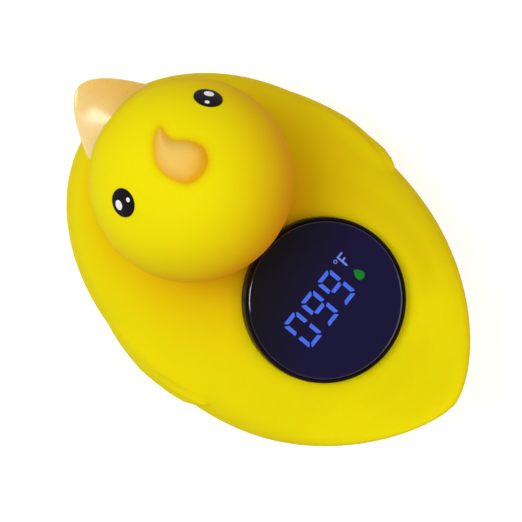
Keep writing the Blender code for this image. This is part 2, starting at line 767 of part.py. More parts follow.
def drop_outline(points=DROP_POINTS):
    """Water drop with its point toward the head."""
    outline = []
    for step in range(points):
        angle = math.tau * step / points
        squeeze = math.sin(angle / 2) ** DROP_POINT_POWER
        outline.append((DROP_X + DROP_LENGTH / 2 * math.cos(angle),
                        DROP_Y + DROP_RADIUS * math.sin(angle) * squeeze))
    return outline


def shrunk(outline, margin):
    """Outline with every point moved toward its middle by a margin."""
    middle = Vector([sum(axis) / len(outline) for axis in zip(*outline)])
    moved = []
    for point in outline:
        away = Vector(point) - middle
        moved.append(middle + away * (1 - margin / max(away.length, margin)))
    return moved


def segment_prisms(name, low, high, margin):
    """All display marks as separate prisms in one guide."""
    outlines = [drop_outline()]
    for digit in range(DIGIT_COUNT):
        outlines += digit_segments(DIGIT_START_Y - DIGIT_PITCH * digit)
    bm = bmesh.new()
    for outline in outlines:
        points = shrunk(outline, margin) if margin else outline
        bottom = [bm.verts.new((x, y, low)) for x, y in points]
        face = bm.faces.new(bottom)
        moved = bmesh.ops.extrude_face_region(bm, geom=[face])["geom"]
        raised = [item for item in moved if isinstance(item, bmesh.types.BMVert)]
        bmesh.ops.translate(bm, vec=(0, 0, high - low), verts=raised)
    bmesh.ops.recalc_face_normals(bm, faces=bm.faces)
    return as_guide(object_from(bm, name))


def build_display():
    """Window, seal, mask, light guide, board and chip, from the top down."""
    glass = material("tinted_window", (0.010, 0.012, 0.040), 0.08)
    rubber = material("grey_rubber", (0.06, 0.06, 0.06), 0.7)
    black = material("mask_black", (0.010, 0.010, 0.012), 0.6)
    white = material("guide_white", (0.80, 0.80, 0.78), 0.4)
    green = material("board_green", (0.02, 0.16, 0.06), 0.4)
    chip_black = material("chip_black", (0.015, 0.015, 0.015), 0.5)
    edge_z = LENS_TOP_Z - LENS_EDGE
    profile = [(0, LENS_TOP_Z + LENS_CROWN)]
    for angle in quarter_turn():
        profile.append((LENS_RADIUS - LENS_EDGE * (1 - math.sin(angle)),
                        edge_z + LENS_EDGE * math.cos(angle)))
    profile += [(LENS_RADIUS, LENS_BOTTOM_Z), (0, LENS_BOTTOM_Z)]
    as_part(turned("display_lens", profile), glass)
    seal_outer = COUNTERBORE_RADIUS - FIT
    seal_z = LEDGE_Z + SEAL_FIT
    as_part(turned("lens_seal", band(seal_outer - LENS_SEAL_WIDTH, seal_outer, seal_z,
                                     seal_z + LENS_SEAL_THICKNESS), closed=True), rubber)
    mask = as_part(turned("digit_mask", drum(WINDOW_RADIUS - FIT, MASK_BOTTOM_Z, LEDGE_Z)), black)
    combine(mask, segment_prisms("mask_windows", MASK_BOTTOM_Z - OVERCUT, LEDGE_Z + OVERCUT, 0),
            "DIFFERENCE")
    plate = drum(BORE_RADIUS - FIT, GUIDE_BOTTOM_Z, GUIDE_TOP_Z)
    guide = as_part(turned("segment_guide", plate), white)
    raised = segment_prisms("guide_bars", GUIDE_BOTTOM_Z + GUIDE_THICKNESS / 2,
                            LEDGE_Z - SEGMENT_SINK, FIT)
    combine(guide, raised, "UNION")
    board = drum(BORE_RADIUS - FIT, BOARD_BOTTOM_Z, BOARD_TOP_Z)
    as_part(turned("display_board", board), green)
    chip_z = BOARD_BOTTOM_Z - FIT - CHIP_THICKNESS / 2
    as_part(box_object("mcu_chip", (CHIP_SIZE, CHIP_SIZE, CHIP_THICKNESS), (0, 0, chip_z)),
            chip_black)


def posts(name, angles, ring, profile):
    """Turned guides that stand at several angles of a circle round the module's axis."""
    made = []
    for number, angle in enumerate(angles):
        post = turned(f"{name}_{number}", profile, SMALL_STEPS, centre=on_ring(angle, ring))
        post.rotation_euler.z = angle + POST_TURN
        made.append(as_guide(post))
    return made


def stepped(wide, narrow, step_z, top):
    """Profile of a hole from below: a wide recess up to a step and a narrow bore above it."""
    return [(0, top), (narrow, top), (narrow, step_z), (wide, step_z), (wide, -OVERCUT),
            (0, -OVERCUT)]


def build_upper_housing():
    """Upper half of the module: rim, ledge for the window, board clips and screw posts."""
    dark = material("housing_black", (0.018, 0.015, 0.015), 0.35)
    housing = as_part(turned("upper_housing", [
        (COUNTERBORE_RADIUS, BEZEL_TOP_Z), (BEZEL_RADIUS - BEZEL_EDGE, BEZEL_TOP_Z),
        (BEZEL_RADIUS, BEZEL_TOP_Z - BEZEL_EDGE), (BEZEL_RADIUS, BEZEL_BOTTOM_Z),
        (GROOVE_RADIUS, BEZEL_BOTTOM_Z), (GROOVE_RADIUS, SHOULDER_Z),
        (BODY_RADIUS - HOUSING_EDGE, SHOULDER_Z), (BODY_RADIUS, SHOULDER_Z - HOUSING_EDGE),
        (BODY_RADIUS, UPPER_RIM_Z), (INNER_RADIUS, UPPER_RIM_Z), (INNER_RADIUS, SHELF_Z),
        (BORE_RADIUS, SHELF_Z), (BORE_RADIUS, BEZEL_BOTTOM_Z), (WINDOW_RADIUS, BEZEL_BOTTOM_Z),
        (WINDOW_RADIUS, LEDGE_Z), (COUNTERBORE_RADIUS, LEDGE_Z)], closed=True), dark)
    angles = [math.radians(angle) for angle in HOUSING_SCREW_ANGLES]
    boss_bottom = UPPER_RIM_Z + FIT
    for boss in posts("upper_boss", angles, RING_RADIUS,
                      drum(HOUSING_BOSS_RADIUS, boss_bottom, boss_bottom + BOSS_RISE)):
        combine(housing, boss, "UNION")
    for hole in posts("upper_hole", angles, RING_RADIUS,
                      drum(HOUSING_SCREW_SHANK + FIT, boss_bottom - OVERCUT,
                           boss_bottom + BOSS_HOLE_DEPTH)):
        combine(housing, hole, "DIFFERENCE")
    for number, angle in enumerate(angles):
        depth = CLIP_REACH + HOUSING_WALL / 2
        centre = (BORE_RADIUS + HOUSING_WALL / 2 - depth / 2, 0, CLIP_TOP_Z - CLIP_HEIGHT / 2)
        clip = as_guide(box_object(f"clip_{number}", (depth, CLIP_WIDTH, CLIP_HEIGHT), centre,
                                   angle + CLIP_TURN))
        combine(housing, clip, "UNION")


def build_lower_housing():
    """Lower half of the module: foot flange, battery bay, screw tubes and sensor holes."""
    grey = material("foot_white", (0.72, 0.72, 0.70), 0.45)
    ridge = BODY_RADIUS + RIDGE_REACH
    bay_outer = BAY_RADIUS + BAY_WALL
    housing = as_part(turned("lower_housing", [
        (0, WEB_TOP_Z), (bay_outer, WEB_TOP_Z), (bay_outer, FLOOR_Z), (INNER_RADIUS, FLOOR_Z),
        (INNER_RADIUS, LOWER_RIM_Z), (BODY_RADIUS, LOWER_RIM_Z),
        (BODY_RADIUS, RIDGE_Z + RIDGE_HEIGHT), (ridge, RIDGE_Z + RIDGE_HEIGHT), (ridge, RIDGE_Z),
        (BODY_RADIUS, RIDGE_Z), (BODY_RADIUS, FLANGE_THICKNESS),
        (FLANGE_RADIUS, FLANGE_THICKNESS), (FLANGE_RADIUS, FOOT_EDGE),
        (FLANGE_RADIUS - FOOT_EDGE, 0),
        (DOOR_RECESS_RADIUS, 0), (DOOR_RECESS_RADIUS, DOOR_LEDGE_Z),
        (BAY_RADIUS, DOOR_LEDGE_Z), (BAY_RADIUS, BAY_CEILING_Z), (0, BAY_CEILING_Z)]), grey)
    angles = [math.radians(angle) for angle in HOUSING_SCREW_ANGLES]
    tube_top = LOWER_RIM_Z - FIT
    tube_bottom = FLOOR_Z - FLOOR_THICKNESS / 2
    for tube in posts("screw_tube", angles, RING_RADIUS,
                      drum(HOUSING_BOSS_RADIUS, tube_bottom, tube_top)):
        combine(housing, tube, "UNION")
    door_boss = posts("door_boss", [DOOR_SCREW_ANGLE], DOOR_SCREW_RADIUS_AT,
                      drum(DOOR_BOSS_RADIUS, tube_bottom, DOOR_LEDGE_Z + DOOR_SCREW_LENGTH))
    combine(housing, door_boss[0], "UNION")
    cuts = posts("screw_bore", angles, RING_RADIUS,
                 stepped(HOUSING_SCREW_HEAD + FIT, HOUSING_SCREW_SHANK + FIT, COUNTERBORE_DEPTH,
                         tube_top + OVERCUT))
    cuts += posts("door_screw_bore", [DOOR_SCREW_ANGLE], DOOR_SCREW_RADIUS_AT,
                  drum(DOOR_SCREW_SHANK + FIT, 0, DOOR_LEDGE_Z + DOOR_SCREW_HOLE_DEPTH))
    pins = [math.radians(angle) for angle in
            (PROBE_ANGLE, WATER_CONTACT_ANGLE, -WATER_CONTACT_ANGLE)]
    cuts += posts("pin_bore", pins, RING_RADIUS,
                  stepped(PIN_HEAD + FIT, PIN_STEM + FIT, PIN_RECESS + PIN_HEAD_THICKNESS + FIT,
                          FLOOR_Z + OVERCUT))
    depth = 2 * CONTACT_THICKNESS + 2 * FIT
    notch_height = CONTACT_HEIGHT + 2 * FIT
    notch_low = DOOR_LEDGE_Z + FIT
    notch = box_object("contact_notch", (depth, CONTACT_WIDTH + 2 * FIT, notch_height),
                       (BAY_RADIUS, 0, notch_low + notch_height / 2), CONTACT_ANGLE)
    cuts.append(as_guide(notch))
    for cut in cuts:
        combine(housing, cut, "DIFFERENCE")
    rubber = material("seal_rubber", (0.10, 0.10, 0.10), 0.7)
    seal_low = SPLIT_Z - HOUSING_SEAL_THICKNESS / 2
    as_part(turned("housing_seal", band(INNER_RADIUS + FIT, BODY_RADIUS - FIT, seal_low,
                                        seal_low + HOUSING_SEAL_THICKNESS), closed=True), rubber)


def build_battery():
    """Cells, their contacts, and the door with its seal and screw."""
    steel = material("cell_steel", (0.55, 0.55, 0.56), 0.25, 1.0)
    spring = material("contact_nickel", (0.60, 0.58, 0.52), 0.3, 1.0)
    white = material("door_white", (0.72, 0.72, 0.70), 0.45)
    rubber = material("door_rubber", (0.10, 0.10, 0.10), 0.7)
    screw_steel = material("screw_steel", (0.50, 0.50, 0.52), 0.3, 1.0)
    for number, low in ((1, CELL_1_Z), (2, CELL_2_Z)):
        top = low + CELL_THICKNESS
        as_part(turned(f"coin_cell_{number}", [
            (0, top), (CELL_CAP_RADIUS, top), (CELL_CAP_RADIUS, top - CELL_STEP),
            (CELL_RADIUS - CELL_STEP, top - CELL_STEP), (CELL_RADIUS, top - 2 * CELL_STEP),
            (CELL_RADIUS, low), (0, low)]), steel)
    as_part(turned("contact_negative", drum(CELL_CAP_RADIUS / 2, LEAF_Z,
                                            LEAF_Z + CONTACT_THICKNESS)), spring)
    strip_z = DOOR_LEDGE_Z + 2 * FIT + CONTACT_HEIGHT / 2
    as_part(box_object("contact_positive", (CONTACT_THICKNESS, CONTACT_WIDTH, CONTACT_HEIGHT),
                       (BAY_RADIUS + CONTACT_THICKNESS / 2, 0, strip_z), CONTACT_ANGLE), spring)
    groove_floor = DOOR_THICKNESS - DOOR_GROOVE_DEPTH
    groove_inner = BAY_RADIUS + FIT
    groove_outer = groove_inner + DOOR_SEAL_WIDTH + 2 * SEAL_FIT
    door = as_part(turned("battery_door", [
        (0, DOOR_THICKNESS), (groove_inner, DOOR_THICKNESS), (groove_inner, groove_floor),
        (groove_outer, groove_floor), (groove_outer, DOOR_THICKNESS),
        (DOOR_RADIUS, DOOR_THICKNESS), (DOOR_RADIUS, FOOT_EDGE), (DOOR_RADIUS - FOOT_EDGE, 0),
        (0, 0)]),
        white)
    head_room = PIN_RECESS + DOOR_SCREW_HEAD_THICKNESS + FIT
    for cut in posts("door_hole", [DOOR_SCREW_ANGLE], DOOR_SCREW_RADIUS_AT,
                     stepped(DOOR_SCREW_HEAD + FIT, DOOR_SCREW_SHANK + FIT, head_room,
                             DOOR_THICKNESS + OVERCUT)):
        combine(door, cut, "DIFFERENCE")
    seal_inner = groove_inner + SEAL_FIT
    seal_low = groove_floor + SEAL_FIT
    as_part(turned("door_seal", band(seal_inner, seal_inner + DOOR_SEAL_WIDTH, seal_low,
                                     seal_low + DOOR_SEAL_THICKNESS), closed=True), rubber)
    build_screw("door_screw", on_ring(DOOR_SCREW_ANGLE, DOOR_SCREW_RADIUS_AT), PIN_RECESS,
                (DOOR_SCREW_HEAD, DOOR_SCREW_HEAD_THICKNESS),
                (DOOR_SCREW_SHANK, DOOR_SCREW_LENGTH), screw_steel)


def build_screw(name, centre, low, head, shank, look):
    """Pan head screw or headed pin that points up; head and shank are (radius, length)."""
    top = low + head[1] + shank[1]
    shoulder = low + head[1]
    as_part(turned(name, [
        (0, top), (SCREW_POINT_SHARE * shank[0], top), (shank[0], top - shank[0]), (shank[0], shoulder),
        (head[0], shoulder), (head[0], low + head[1] / 3), (SCREW_EDGE_SHARE * head[0], low), (0, low)],
        SMALL_STEPS, centre=centre), look)


def build_fasteners_and_sensors():
    """Housing screws, temperature probe with its bead, and the two water contacts."""
    steel = material("fastener_steel", (0.50, 0.50, 0.52), 0.3, 1.0)
    bright = material("probe_steel", (0.66, 0.66, 0.68), 0.18, 1.0)
    resin = material("thermistor_resin", (0.02, 0.02, 0.02), 0.4)
    head_low = COUNTERBORE_DEPTH - FIT - HOUSING_SCREW_HEAD_THICKNESS
    for number, angle in enumerate(HOUSING_SCREW_ANGLES, start=1):
        build_screw(f"housing_screw_{number}", on_ring(math.radians(angle)), head_low,
                    (HOUSING_SCREW_HEAD, HOUSING_SCREW_HEAD_THICKNESS),
                    (HOUSING_SCREW_SHANK, HOUSING_SCREW_LENGTH), steel)
    for name, angle in (("temperature_probe", PROBE_ANGLE),
                        ("water_contact_left", WATER_CONTACT_ANGLE),
                        ("water_contact_right", -WATER_CONTACT_ANGLE)):
        build_screw(name, on_ring(math.radians(angle)), PIN_RECESS,
                    (PIN_HEAD, PIN_HEAD_THICKNESS), (PIN_STEM, PIN_LENGTH), bright)
    bead_z = PIN_RECESS + PIN_HEAD_THICKNESS + PIN_LENGTH + FIT + THERMISTOR_RADIUS
    bead_at = on_ring(math.radians(PROBE_ANGLE)) + Vector((0, 0, bead_z))
    as_part(ball("thermistor", THERMISTOR_RADIUS, bead_at, SMALL_STEPS), resin)


build_duck()
build_display()
build_upper_housing()
build_lower_housing()
build_battery()
build_fasteners_and_sensors()
bpy.context.view_layer.update()
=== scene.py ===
"""Looks of a floating duck bath thermometer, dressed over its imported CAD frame.

Frame: metres, +X toward the bill, +Y the duck's left, +Z up. The origin is on the
display's axis, at the level that the duck stands on.
"""

import logging
import math
from dataclasses import dataclass
from enum import Enum
from typing import Sequence

import bmesh
import bpy
import numpy as np
from mathutils import Matrix, Vector
from mathutils.bvhtree import BVHTree

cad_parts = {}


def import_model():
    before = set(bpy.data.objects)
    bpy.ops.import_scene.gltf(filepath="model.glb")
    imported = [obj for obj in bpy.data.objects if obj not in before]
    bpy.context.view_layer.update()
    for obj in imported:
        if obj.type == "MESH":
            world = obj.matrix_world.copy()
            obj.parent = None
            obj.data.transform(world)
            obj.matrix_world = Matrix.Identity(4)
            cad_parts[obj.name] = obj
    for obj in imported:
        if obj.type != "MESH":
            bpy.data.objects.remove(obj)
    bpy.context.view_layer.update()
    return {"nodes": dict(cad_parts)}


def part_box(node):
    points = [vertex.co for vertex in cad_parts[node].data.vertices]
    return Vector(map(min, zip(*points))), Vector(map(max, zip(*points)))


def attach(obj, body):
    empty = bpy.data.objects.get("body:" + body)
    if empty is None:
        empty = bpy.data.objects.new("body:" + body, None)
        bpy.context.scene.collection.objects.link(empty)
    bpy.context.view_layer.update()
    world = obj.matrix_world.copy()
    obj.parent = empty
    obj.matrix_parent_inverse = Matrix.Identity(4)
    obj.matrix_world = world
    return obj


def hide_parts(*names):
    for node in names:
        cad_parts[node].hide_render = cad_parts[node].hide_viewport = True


LOG = logging.getLogger("bath_duck")
ROOT = "root"
RIM_RADIUS = 0.0205
NOISE_LOW, NOISE_HIGH = 0.3, 0.7
Triple = tuple[float, float, float]
Colour = Triple
WHITE = (1.0, 1.0, 1.0)
Profile = list[tuple[float, float]]
Piece = bpy.types.Object
Socket = bpy.types.NodeSocket


# Shader building


class Blend(Enum):
    """How a finish passes from its first colour to its second."""

    CLOUDS = "clouds"
    GRADIENT = "gradient"
    # Mask read from the painted shade and paint tint stored on the mesh.
    CREASES = "shade_and_tint_attribute"
    # Painted shade on surfaces turned from the light, added to the stored mask.
    TURNED = "turned_shade"


class NodeSheet:
    """A shader or geometry tree under construction, with short calls for its nodes."""

    def __init__(self, tree: bpy.types.NodeTree) -> None:
        """Keep the tree that the nodes go into."""
        self.tree = tree

    def fill(self, node: bpy.types.Node, inputs: dict) -> bpy.types.Node:
        """Give a node's inputs their values or links, by input name or index."""
        for key, value in inputs.items():
            if isinstance(value, Socket):
                self.tree.links.new(value, node.inputs[key])
            else:
                node.inputs[key].default_value = value
        return node

    def add(self, kind: str, inputs: dict | None = None, **settings: object) -> bpy.types.Node:
        """Add a node.

        Args:
            kind: Blender's name of the node type.
            inputs: values or sockets for its inputs, by input name or index.
            settings: properties of the node itself.

        Returns:
            The new node.
        """
        node = self.tree.nodes.new(kind)
        for key, value in settings.items():
            setattr(node, key, value)
        return self.fill(node, inputs or {})

    def maths(self, operation: str, first: object, second: object = 0.0) -> Socket:
        """Number worked out from two others."""
        return self.add("ShaderNodeMath", {0: first, 1: second}, operation=operation).outputs[0]

    def spread(self, value: object, low: float, high: float, to_low: float,
               to_high: float) -> Socket:
        """Map a number from one range to another, clamped at both ends."""
        return self.add("ShaderNodeMapRange", {
            "Value": value, "From Min": low, "From Max": high, "To Min": to_low,
            "To Max": to_high}).outputs["Result"]

    def mix(self, share: object, first: object, second: object) -> Socket:
        """Colour between two colours."""
        return self.add("ShaderNodeMix", {0: share, 6: first, 7: second},
                        data_type="RGBA").outputs[2]


def opaque(colour: Colour) -> tuple[float, float, float, float]:
    """Colour with full alpha."""
    return (*colour, 1.0)


def group_sheet(name: str, inputs: Sequence[tuple], outputs: Sequence[tuple],
                kind: str = "ShaderNodeTree"
                ) -> tuple[NodeSheet, bpy.types.Node, bpy.types.Node]:
    """Open a new node group.

    Args:
        name: the group's name.
        inputs: (socket name, socket kind, default if it has one) of each input.
        outputs: the same of each output.
        kind: Blender's name of the tree type.

    Returns:
        The sheet to build on, the input node and the output node.
    """
    tree = bpy.data.node_groups.new(name, kind)
    for in_out, rows in (("INPUT", inputs), ("OUTPUT", outputs)):
        for socket_name, value_kind, *default in rows:
            socket = tree.interface.new_socket(socket_name, in_out=in_out,
                                               socket_type=f"NodeSocket{value_kind}")
            if default:
                socket.default_value = default[0]
    sheet = NodeSheet(tree)
    return sheet, sheet.add("NodeGroupInput"), sheet.add("NodeGroupOutput")


def moulded_grain() -> bpy.types.NodeTree:
    """Fine skin of a moulded surface: a height for bump, and broad clouds.

    Returns:
        A node group with Position, Grain Size and Cloud Size inputs.
    """
    name = "moulded_grain"
    if name in bpy.data.node_groups:
        return bpy.data.node_groups[name]
    sheet, given, out = group_sheet(
        name, [("Position", "Vector"), ("Grain Size", "Float", 0.0004),
               ("Cloud Size", "Float", 0.02)], [("Height", "Float"), ("Clouds", "Float")])
    grain, clouds = (sheet.add("ShaderNodeTexNoise", {
        "Vector": given.outputs["Position"], "Detail": detail, "Roughness": roughness,
        "Scale": sheet.maths("DIVIDE", 1.0, given.outputs[size])}).outputs["Fac"]
        for size, detail, roughness in (("Grain Size", 3.0, 0.55), ("Cloud Size", 2.0, 0.45)))
    sheet.fill(out, {"Height": grain,
                     "Clouds": sheet.spread(clouds, NOISE_LOW, NOISE_HIGH, 0.0, 1.0)})
    return sheet.tree


def two_tone() -> bpy.types.NodeTree:
    """Mix of a first and a second colour by a mask, with a slight cloudy shift in value.

    Returns:
        A node group with First, Second, Mask, Clouds and Shift inputs.
    """
    name = "two_tone"
    if name in bpy.data.node_groups:
        return bpy.data.node_groups[name]
    sheet, given, out = group_sheet(
        name, [("First", "Color"), ("Second", "Color"), ("Mask", "Float", 0.0),
               ("Clouds", "Float", 0.5), ("Shift", "Float", 0.03)], [("Colour", "Color")])
    values = given.outputs
    centred = sheet.maths("SUBTRACT", values["Clouds"], 0.5)
    shifted = sheet.add("ShaderNodeHueSaturation", {
        "Value": sheet.maths("ADD", 1.0, sheet.maths("MULTIPLY", centred, values["Shift"])),
        "Color": sheet.mix(values["Mask"], values["First"], values["Second"])})
    sheet.fill(out, {"Colour": shifted.outputs["Color"]})
    return sheet.tree


@dataclass(frozen=True)
class Finish:
    """Surface of one real material, built from the shared grain and tone groups; some finishes
    also paint light and shade into their colour.

    The mask between its two colours follows its blend: a gradient runs from start to end, the
    attribute blend reads the painted shade and paint tint stored on the mesh, and the turned
    blend adds painted shade that grows as the surface turns away from end, roughly the key
    light's direction.
    """

    name: str
    first: Colour
    second: Colour
    roughness: float
    roughness_spread: float = 0.08
    blend: Blend = Blend.CLOUDS
    start: Triple = (0.0, 0.0, 0.0)
    end: Triple = (0.0, 0.0, 1.0)
    turned_shade: float = 0.6
    shift: float = 0.03
    grain: float = 0.0004
    grain_height: float = 0.00001
    clouds: float = 0.02
    metallic: float = 0.0
    coat: float = 0.0
    coat_roughness: float = 0.05
    specular: float = 0.5
    tint: Colour = WHITE
    scatter: float = 0.0
    scatter_radius: Triple = (1.0, 0.5, 0.1)
    scatter_scale: float = 0.002
    glow: Colour | None = None
    glow_strength: float = 0.0
    facing_away: float = -0.1
    facing_full: float = 0.85

    def mask(self, sheet: NodeSheet, position: Socket, clouds: Socket) -> Socket:
        """Mask from the first colour to the second.

        Args:
            sheet: the material under construction.
            position: object coordinates.
            clouds: the broad noise of the grain group.

        Returns:
            The socket with the mask.
        """
        if self.blend is Blend.CLOUDS:
            return clouds
        if self.blend is Blend.GRADIENT:
            start = Vector(self.start)
            along = Vector(self.end) - start
            offset = sheet.add("ShaderNodeVectorMath", {0: position, 1: start},
                               operation="SUBTRACT")
            share = sheet.add("ShaderNodeVectorMath", {
                0: offset.outputs[0], 1: along / along.length_squared}, operation="DOT_PRODUCT")
            return sheet.add("ShaderNodeMapRange", {"Value": share.outputs["Value"]},
                             interpolation_type="SMOOTHSTEP").outputs["Result"]
        # Painted shade and paint tint stored on the mesh as a vertex attribute.
        crease = sheet.add("ShaderNodeAttribute", attribute_name="crease").outputs["Fac"]
        if self.blend is Blend.CREASES:
            return crease
        # Painted shade: the second colour grows as the normal turns away from end, the key light's
        # direction.
        normal = sheet.add("ShaderNodeTexCoord").outputs["Normal"]
        facing = sheet.add("ShaderNodeVectorMath", {0: normal, 1: self.end},
                           operation="DOT_PRODUCT")
        turned_shade = sheet.spread(facing.outputs["Value"], self.facing_away, self.facing_full,
                              self.turned_shade, 0.0)
        return sheet.maths("MINIMUM", sheet.maths("ADD", crease, turned_shade), 1.0)

    def build(self) -> bpy.types.Material:
        """Build the material, or find it if a piece already uses it.

        Returns:
            The material.
        """
        name = f"{self.name}_look"
        if name in bpy.data.materials:
            return bpy.data.materials[name]
        material = bpy.data.materials.new(name)
        material.use_nodes = True
        sheet = NodeSheet(material.node_tree)
        position = sheet.add("ShaderNodeTexCoord").outputs["Object"]
        grain = sheet.add("ShaderNodeGroup", {
            "Grain Size": self.grain, "Cloud Size": self.clouds, "Position": position},
            node_tree=moulded_grain()).outputs
        tone = sheet.add("ShaderNodeGroup", {
            "First": opaque(self.first), "Second": opaque(self.second), "Shift": self.shift,
            "Mask": self.mask(sheet, position, grain["Clouds"]), "Clouds": grain["Clouds"]},
            node_tree=two_tone())
        bump = sheet.add("ShaderNodeBump", {"Height": grain["Height"], "Strength": 1.0,
                                            "Distance": self.grain_height})
        half = self.roughness_spread / 2
        sheet.fill(material.node_tree.nodes["Principled BSDF"], {
            "Base Color": tone.outputs["Colour"], "Normal": bump.outputs["Normal"],
            "Roughness": sheet.spread(grain["Height"], NOISE_LOW, NOISE_HIGH,
                                      self.roughness - half, self.roughness + half),
            **self.constants()})
        return material

    def constants(self) -> dict[str, object]:
        """Values of the shader's own sockets that are the same all over the surface."""
        values = {"Metallic": self.metallic, "Coat Weight": self.coat,
                  "Coat Roughness": self.coat_roughness, "Specular IOR Level": self.specular,
                  "Specular Tint": opaque(self.tint), "Subsurface Weight": self.scatter,
                  "Subsurface Radius": self.scatter_radius,
                  "Subsurface Scale": self.scatter_scale}
        if self.glow:
            values |= {"Emission Color": opaque(self.glow), "Emission Strength": self.glow_strength}
        return values


# Yellow silicone; its orange second colour is painted shade in the neck fold, in the head's shadow
# and on surfaces turned from the key light, and round the tuft it is the tuft's real paint fading.
SILICONE_AND_PAINTED_SHADE = Finish("yellow_silicone", (0.84, 0.745, 0.004), (0.72, 0.27, 0.004), 0.62,
                  blend=Blend.TURNED, end=(0.45, 0.40, 0.80), turned_shade=0.4, grain=0.0007,
                  grain_height=0.00002, clouds=0.03, specular=0.015, tint=(1.0, 0.85, 0.10),
                  scatter=0.5, scatter_scale=0.0015)
# Peach gloss; its gradient is painted light: paler on the bill's left flank, toward the key light,
# and more orange on its right.
PEACH_AND_PAINTED_LIGHT = Finish("peach_gloss", (0.91, 0.71, 0.36), (0.86, 0.57, 0.13), 0.28, 0.02,
               blend=Blend.GRADIENT, start=(0.07, 0.009, 0.05), end=(0.07, -0.008, 0.05),
               grain=0.0012, grain_height=0.000001, clouds=0.008, shift=0.01, coat=0.45,
               coat_roughness=0.22, scatter=0.7, scatter_radius=(1.0, 0.6, 0.3))
# Amber paint of the curl; its mask is the paint fading at the curl's edge plus painted shade on its
# rear and right, away from the key light.
TUFT_AND_PAINTED_SHADE = Finish("amber_silicone", (0.83, 0.56, 0.135), (0.88, 0.44, 0.010), 0.54,
              blend=Blend.CREASES, grain=0.0007, specular=0.15, tint=(1.0, 0.75, 0.25),
              grain_height=0.00002, clouds=0.006, scatter=0.6,
              scatter_radius=(1.0, 0.5, 0.15), scatter_scale=0.0012)
EYE_BLACK = Finish("eye_black", (0.006, 0.004, 0.010), (0.010, 0.006, 0.006), 0.42,
                   grain=0.0006, clouds=0.002, specular=0.06)
EYE_WHITE = Finish("eye_white", (0.86, 0.86, 0.90), (0.74, 0.72, 0.82), 0.40, grain=0.0006,
                   clouds=0.0015)
# Dark window; its gradient is painted light: lighter and bluer toward the tail and the duck's
# right.
WINDOW_AND_PAINTED_LIGHT = Finish("tinted_window", (0.0075, 0.0065, 0.010), (0.0090, 0.0065, 0.044), 0.05, 0.02,
                blend=Blend.GRADIENT, start=(0.019, 0.004, 0.041), end=(-0.004, -0.004, 0.041),
                grain=0.004, grain_height=0.000001, coat=1.0, coat_roughness=0.03)
RIM = Finish("rim_black", (0.007, 0.004, 0.003), (0.016, 0.007, 0.005), 0.34, grain=0.0005,
             clouds=0.01, specular=0.2)
DIGIT_BLUE = Finish("digit_blue", (0.03, 0.07, 0.45), (0.04, 0.09, 0.50), 0.4, clouds=0.001,
                    specular=0.1, glow=(0.055, 0.13, 0.70), glow_strength=0.55)
UNIT_BLUE = Finish("unit_blue", (0.06, 0.10, 0.40), (0.09, 0.14, 0.45), 0.4, clouds=0.001,
                   specular=0.2, glow=(0.11, 0.18, 0.62), glow_strength=0.7)
DROP_GREEN = Finish("drop_green", (0.0, 0.12, 0.006), (0.004, 0.16, 0.014), 0.4, clouds=0.001,
                    specular=0.2, glow=(0.001, 0.20, 0.008), glow_strength=0.4)
FOOT_WHITE = Finish("foot_white", (0.74, 0.74, 0.72), (0.68, 0.68, 0.66), 0.42, grain=0.0003,
                    clouds=0.01)
RUBBER = Finish("seal_rubber", (0.07, 0.07, 0.07), (0.10, 0.10, 0.10), 0.72, grain=0.0003)
MASK_BLACK = Finish("mask_black", (0.010, 0.010, 0.012), (0.016, 0.016, 0.018), 0.62,
                    grain=0.0003)
GUIDE_WHITE = Finish("guide_white", (0.80, 0.80, 0.78), (0.74, 0.74, 0.72), 0.40)
BOARD_GREEN = Finish("board_green", (0.02, 0.16, 0.06), (0.015, 0.12, 0.045), 0.38,
                     grain=0.0006)
CHIP_BLACK = Finish("chip_black", (0.015, 0.015, 0.015), (0.022, 0.022, 0.022), 0.50,
                    grain=0.0002)
NICKEL = Finish("contact_nickel", (0.60, 0.58, 0.52), (0.54, 0.51, 0.45), 0.30, metallic=1.0)
CELL_STEEL = Finish("cell_steel", (0.55, 0.55, 0.56), (0.50, 0.50, 0.52), 0.26, metallic=1.0)
SCREW_STEEL = Finish("screw_steel", (0.50, 0.50, 0.52), (0.42, 0.42, 0.44), 0.30, metallic=1.0)
PROBE_STEEL = Finish("probe_steel", (0.66, 0.66, 0.68), (0.60, 0.60, 0.62), 0.18, metallic=1.0)

CARRIED_OVER = {name: finish for finish, names in (
    (RUBBER, ("lens_seal", "housing_seal", "door_seal")), (MASK_BLACK, ("digit_mask",)),
    (GUIDE_WHITE, ("segment_guide",)), (BOARD_GREEN, ("display_board",)),
    (CHIP_BLACK, ("mcu_chip", "thermistor")), (FOOT_WHITE, ("lower_housing", "battery_door")),
    (NICKEL, ("contact_negative", "contact_positive")),
    (CELL_STEEL, ("coin_cell_1", "coin_cell_2")),
    (SCREW_STEEL, ("door_screw", "housing_screw_1", "housing_screw_2", "housing_screw_3")),
    (PROBE_STEEL, ("temperature_probe", "water_contact_left", "water_contact_right")),
) for name in names}


# Mesh building


def linked(name: str, mesh: bpy.types.Mesh) -> Piece:
    """Object with a mesh, put in the scene at the origin."""
    made = bpy.data.objects.new(name, mesh)
    bpy.context.scene.collection.objects.link(made)
    return made


def object_of(name: str, points: Sequence, faces: Sequence) -> Piece:
    """Object with a new mesh in the scene.

    Args:
        name: the object's and the mesh's name.
        points: vertex places in metres.
        faces: vertex numbers of each face.

    Returns:
        The object, at the origin.
    """
    mesh = bpy.data.meshes.new(name)
    mesh.from_pydata([tuple(point) for point in points], [], [tuple(face) for face in faces])
    mesh.validate()
    return linked(name, mesh)


def from_bmesh(name: str, bm: bmesh.types.BMesh) -> Piece:
    """Object with the mesh that a BMesh holds; the BMesh goes."""
    mesh = bpy.data.meshes.new(name)
    bm.to_mesh(mesh)
    bm.free()
    return linked(name, mesh)


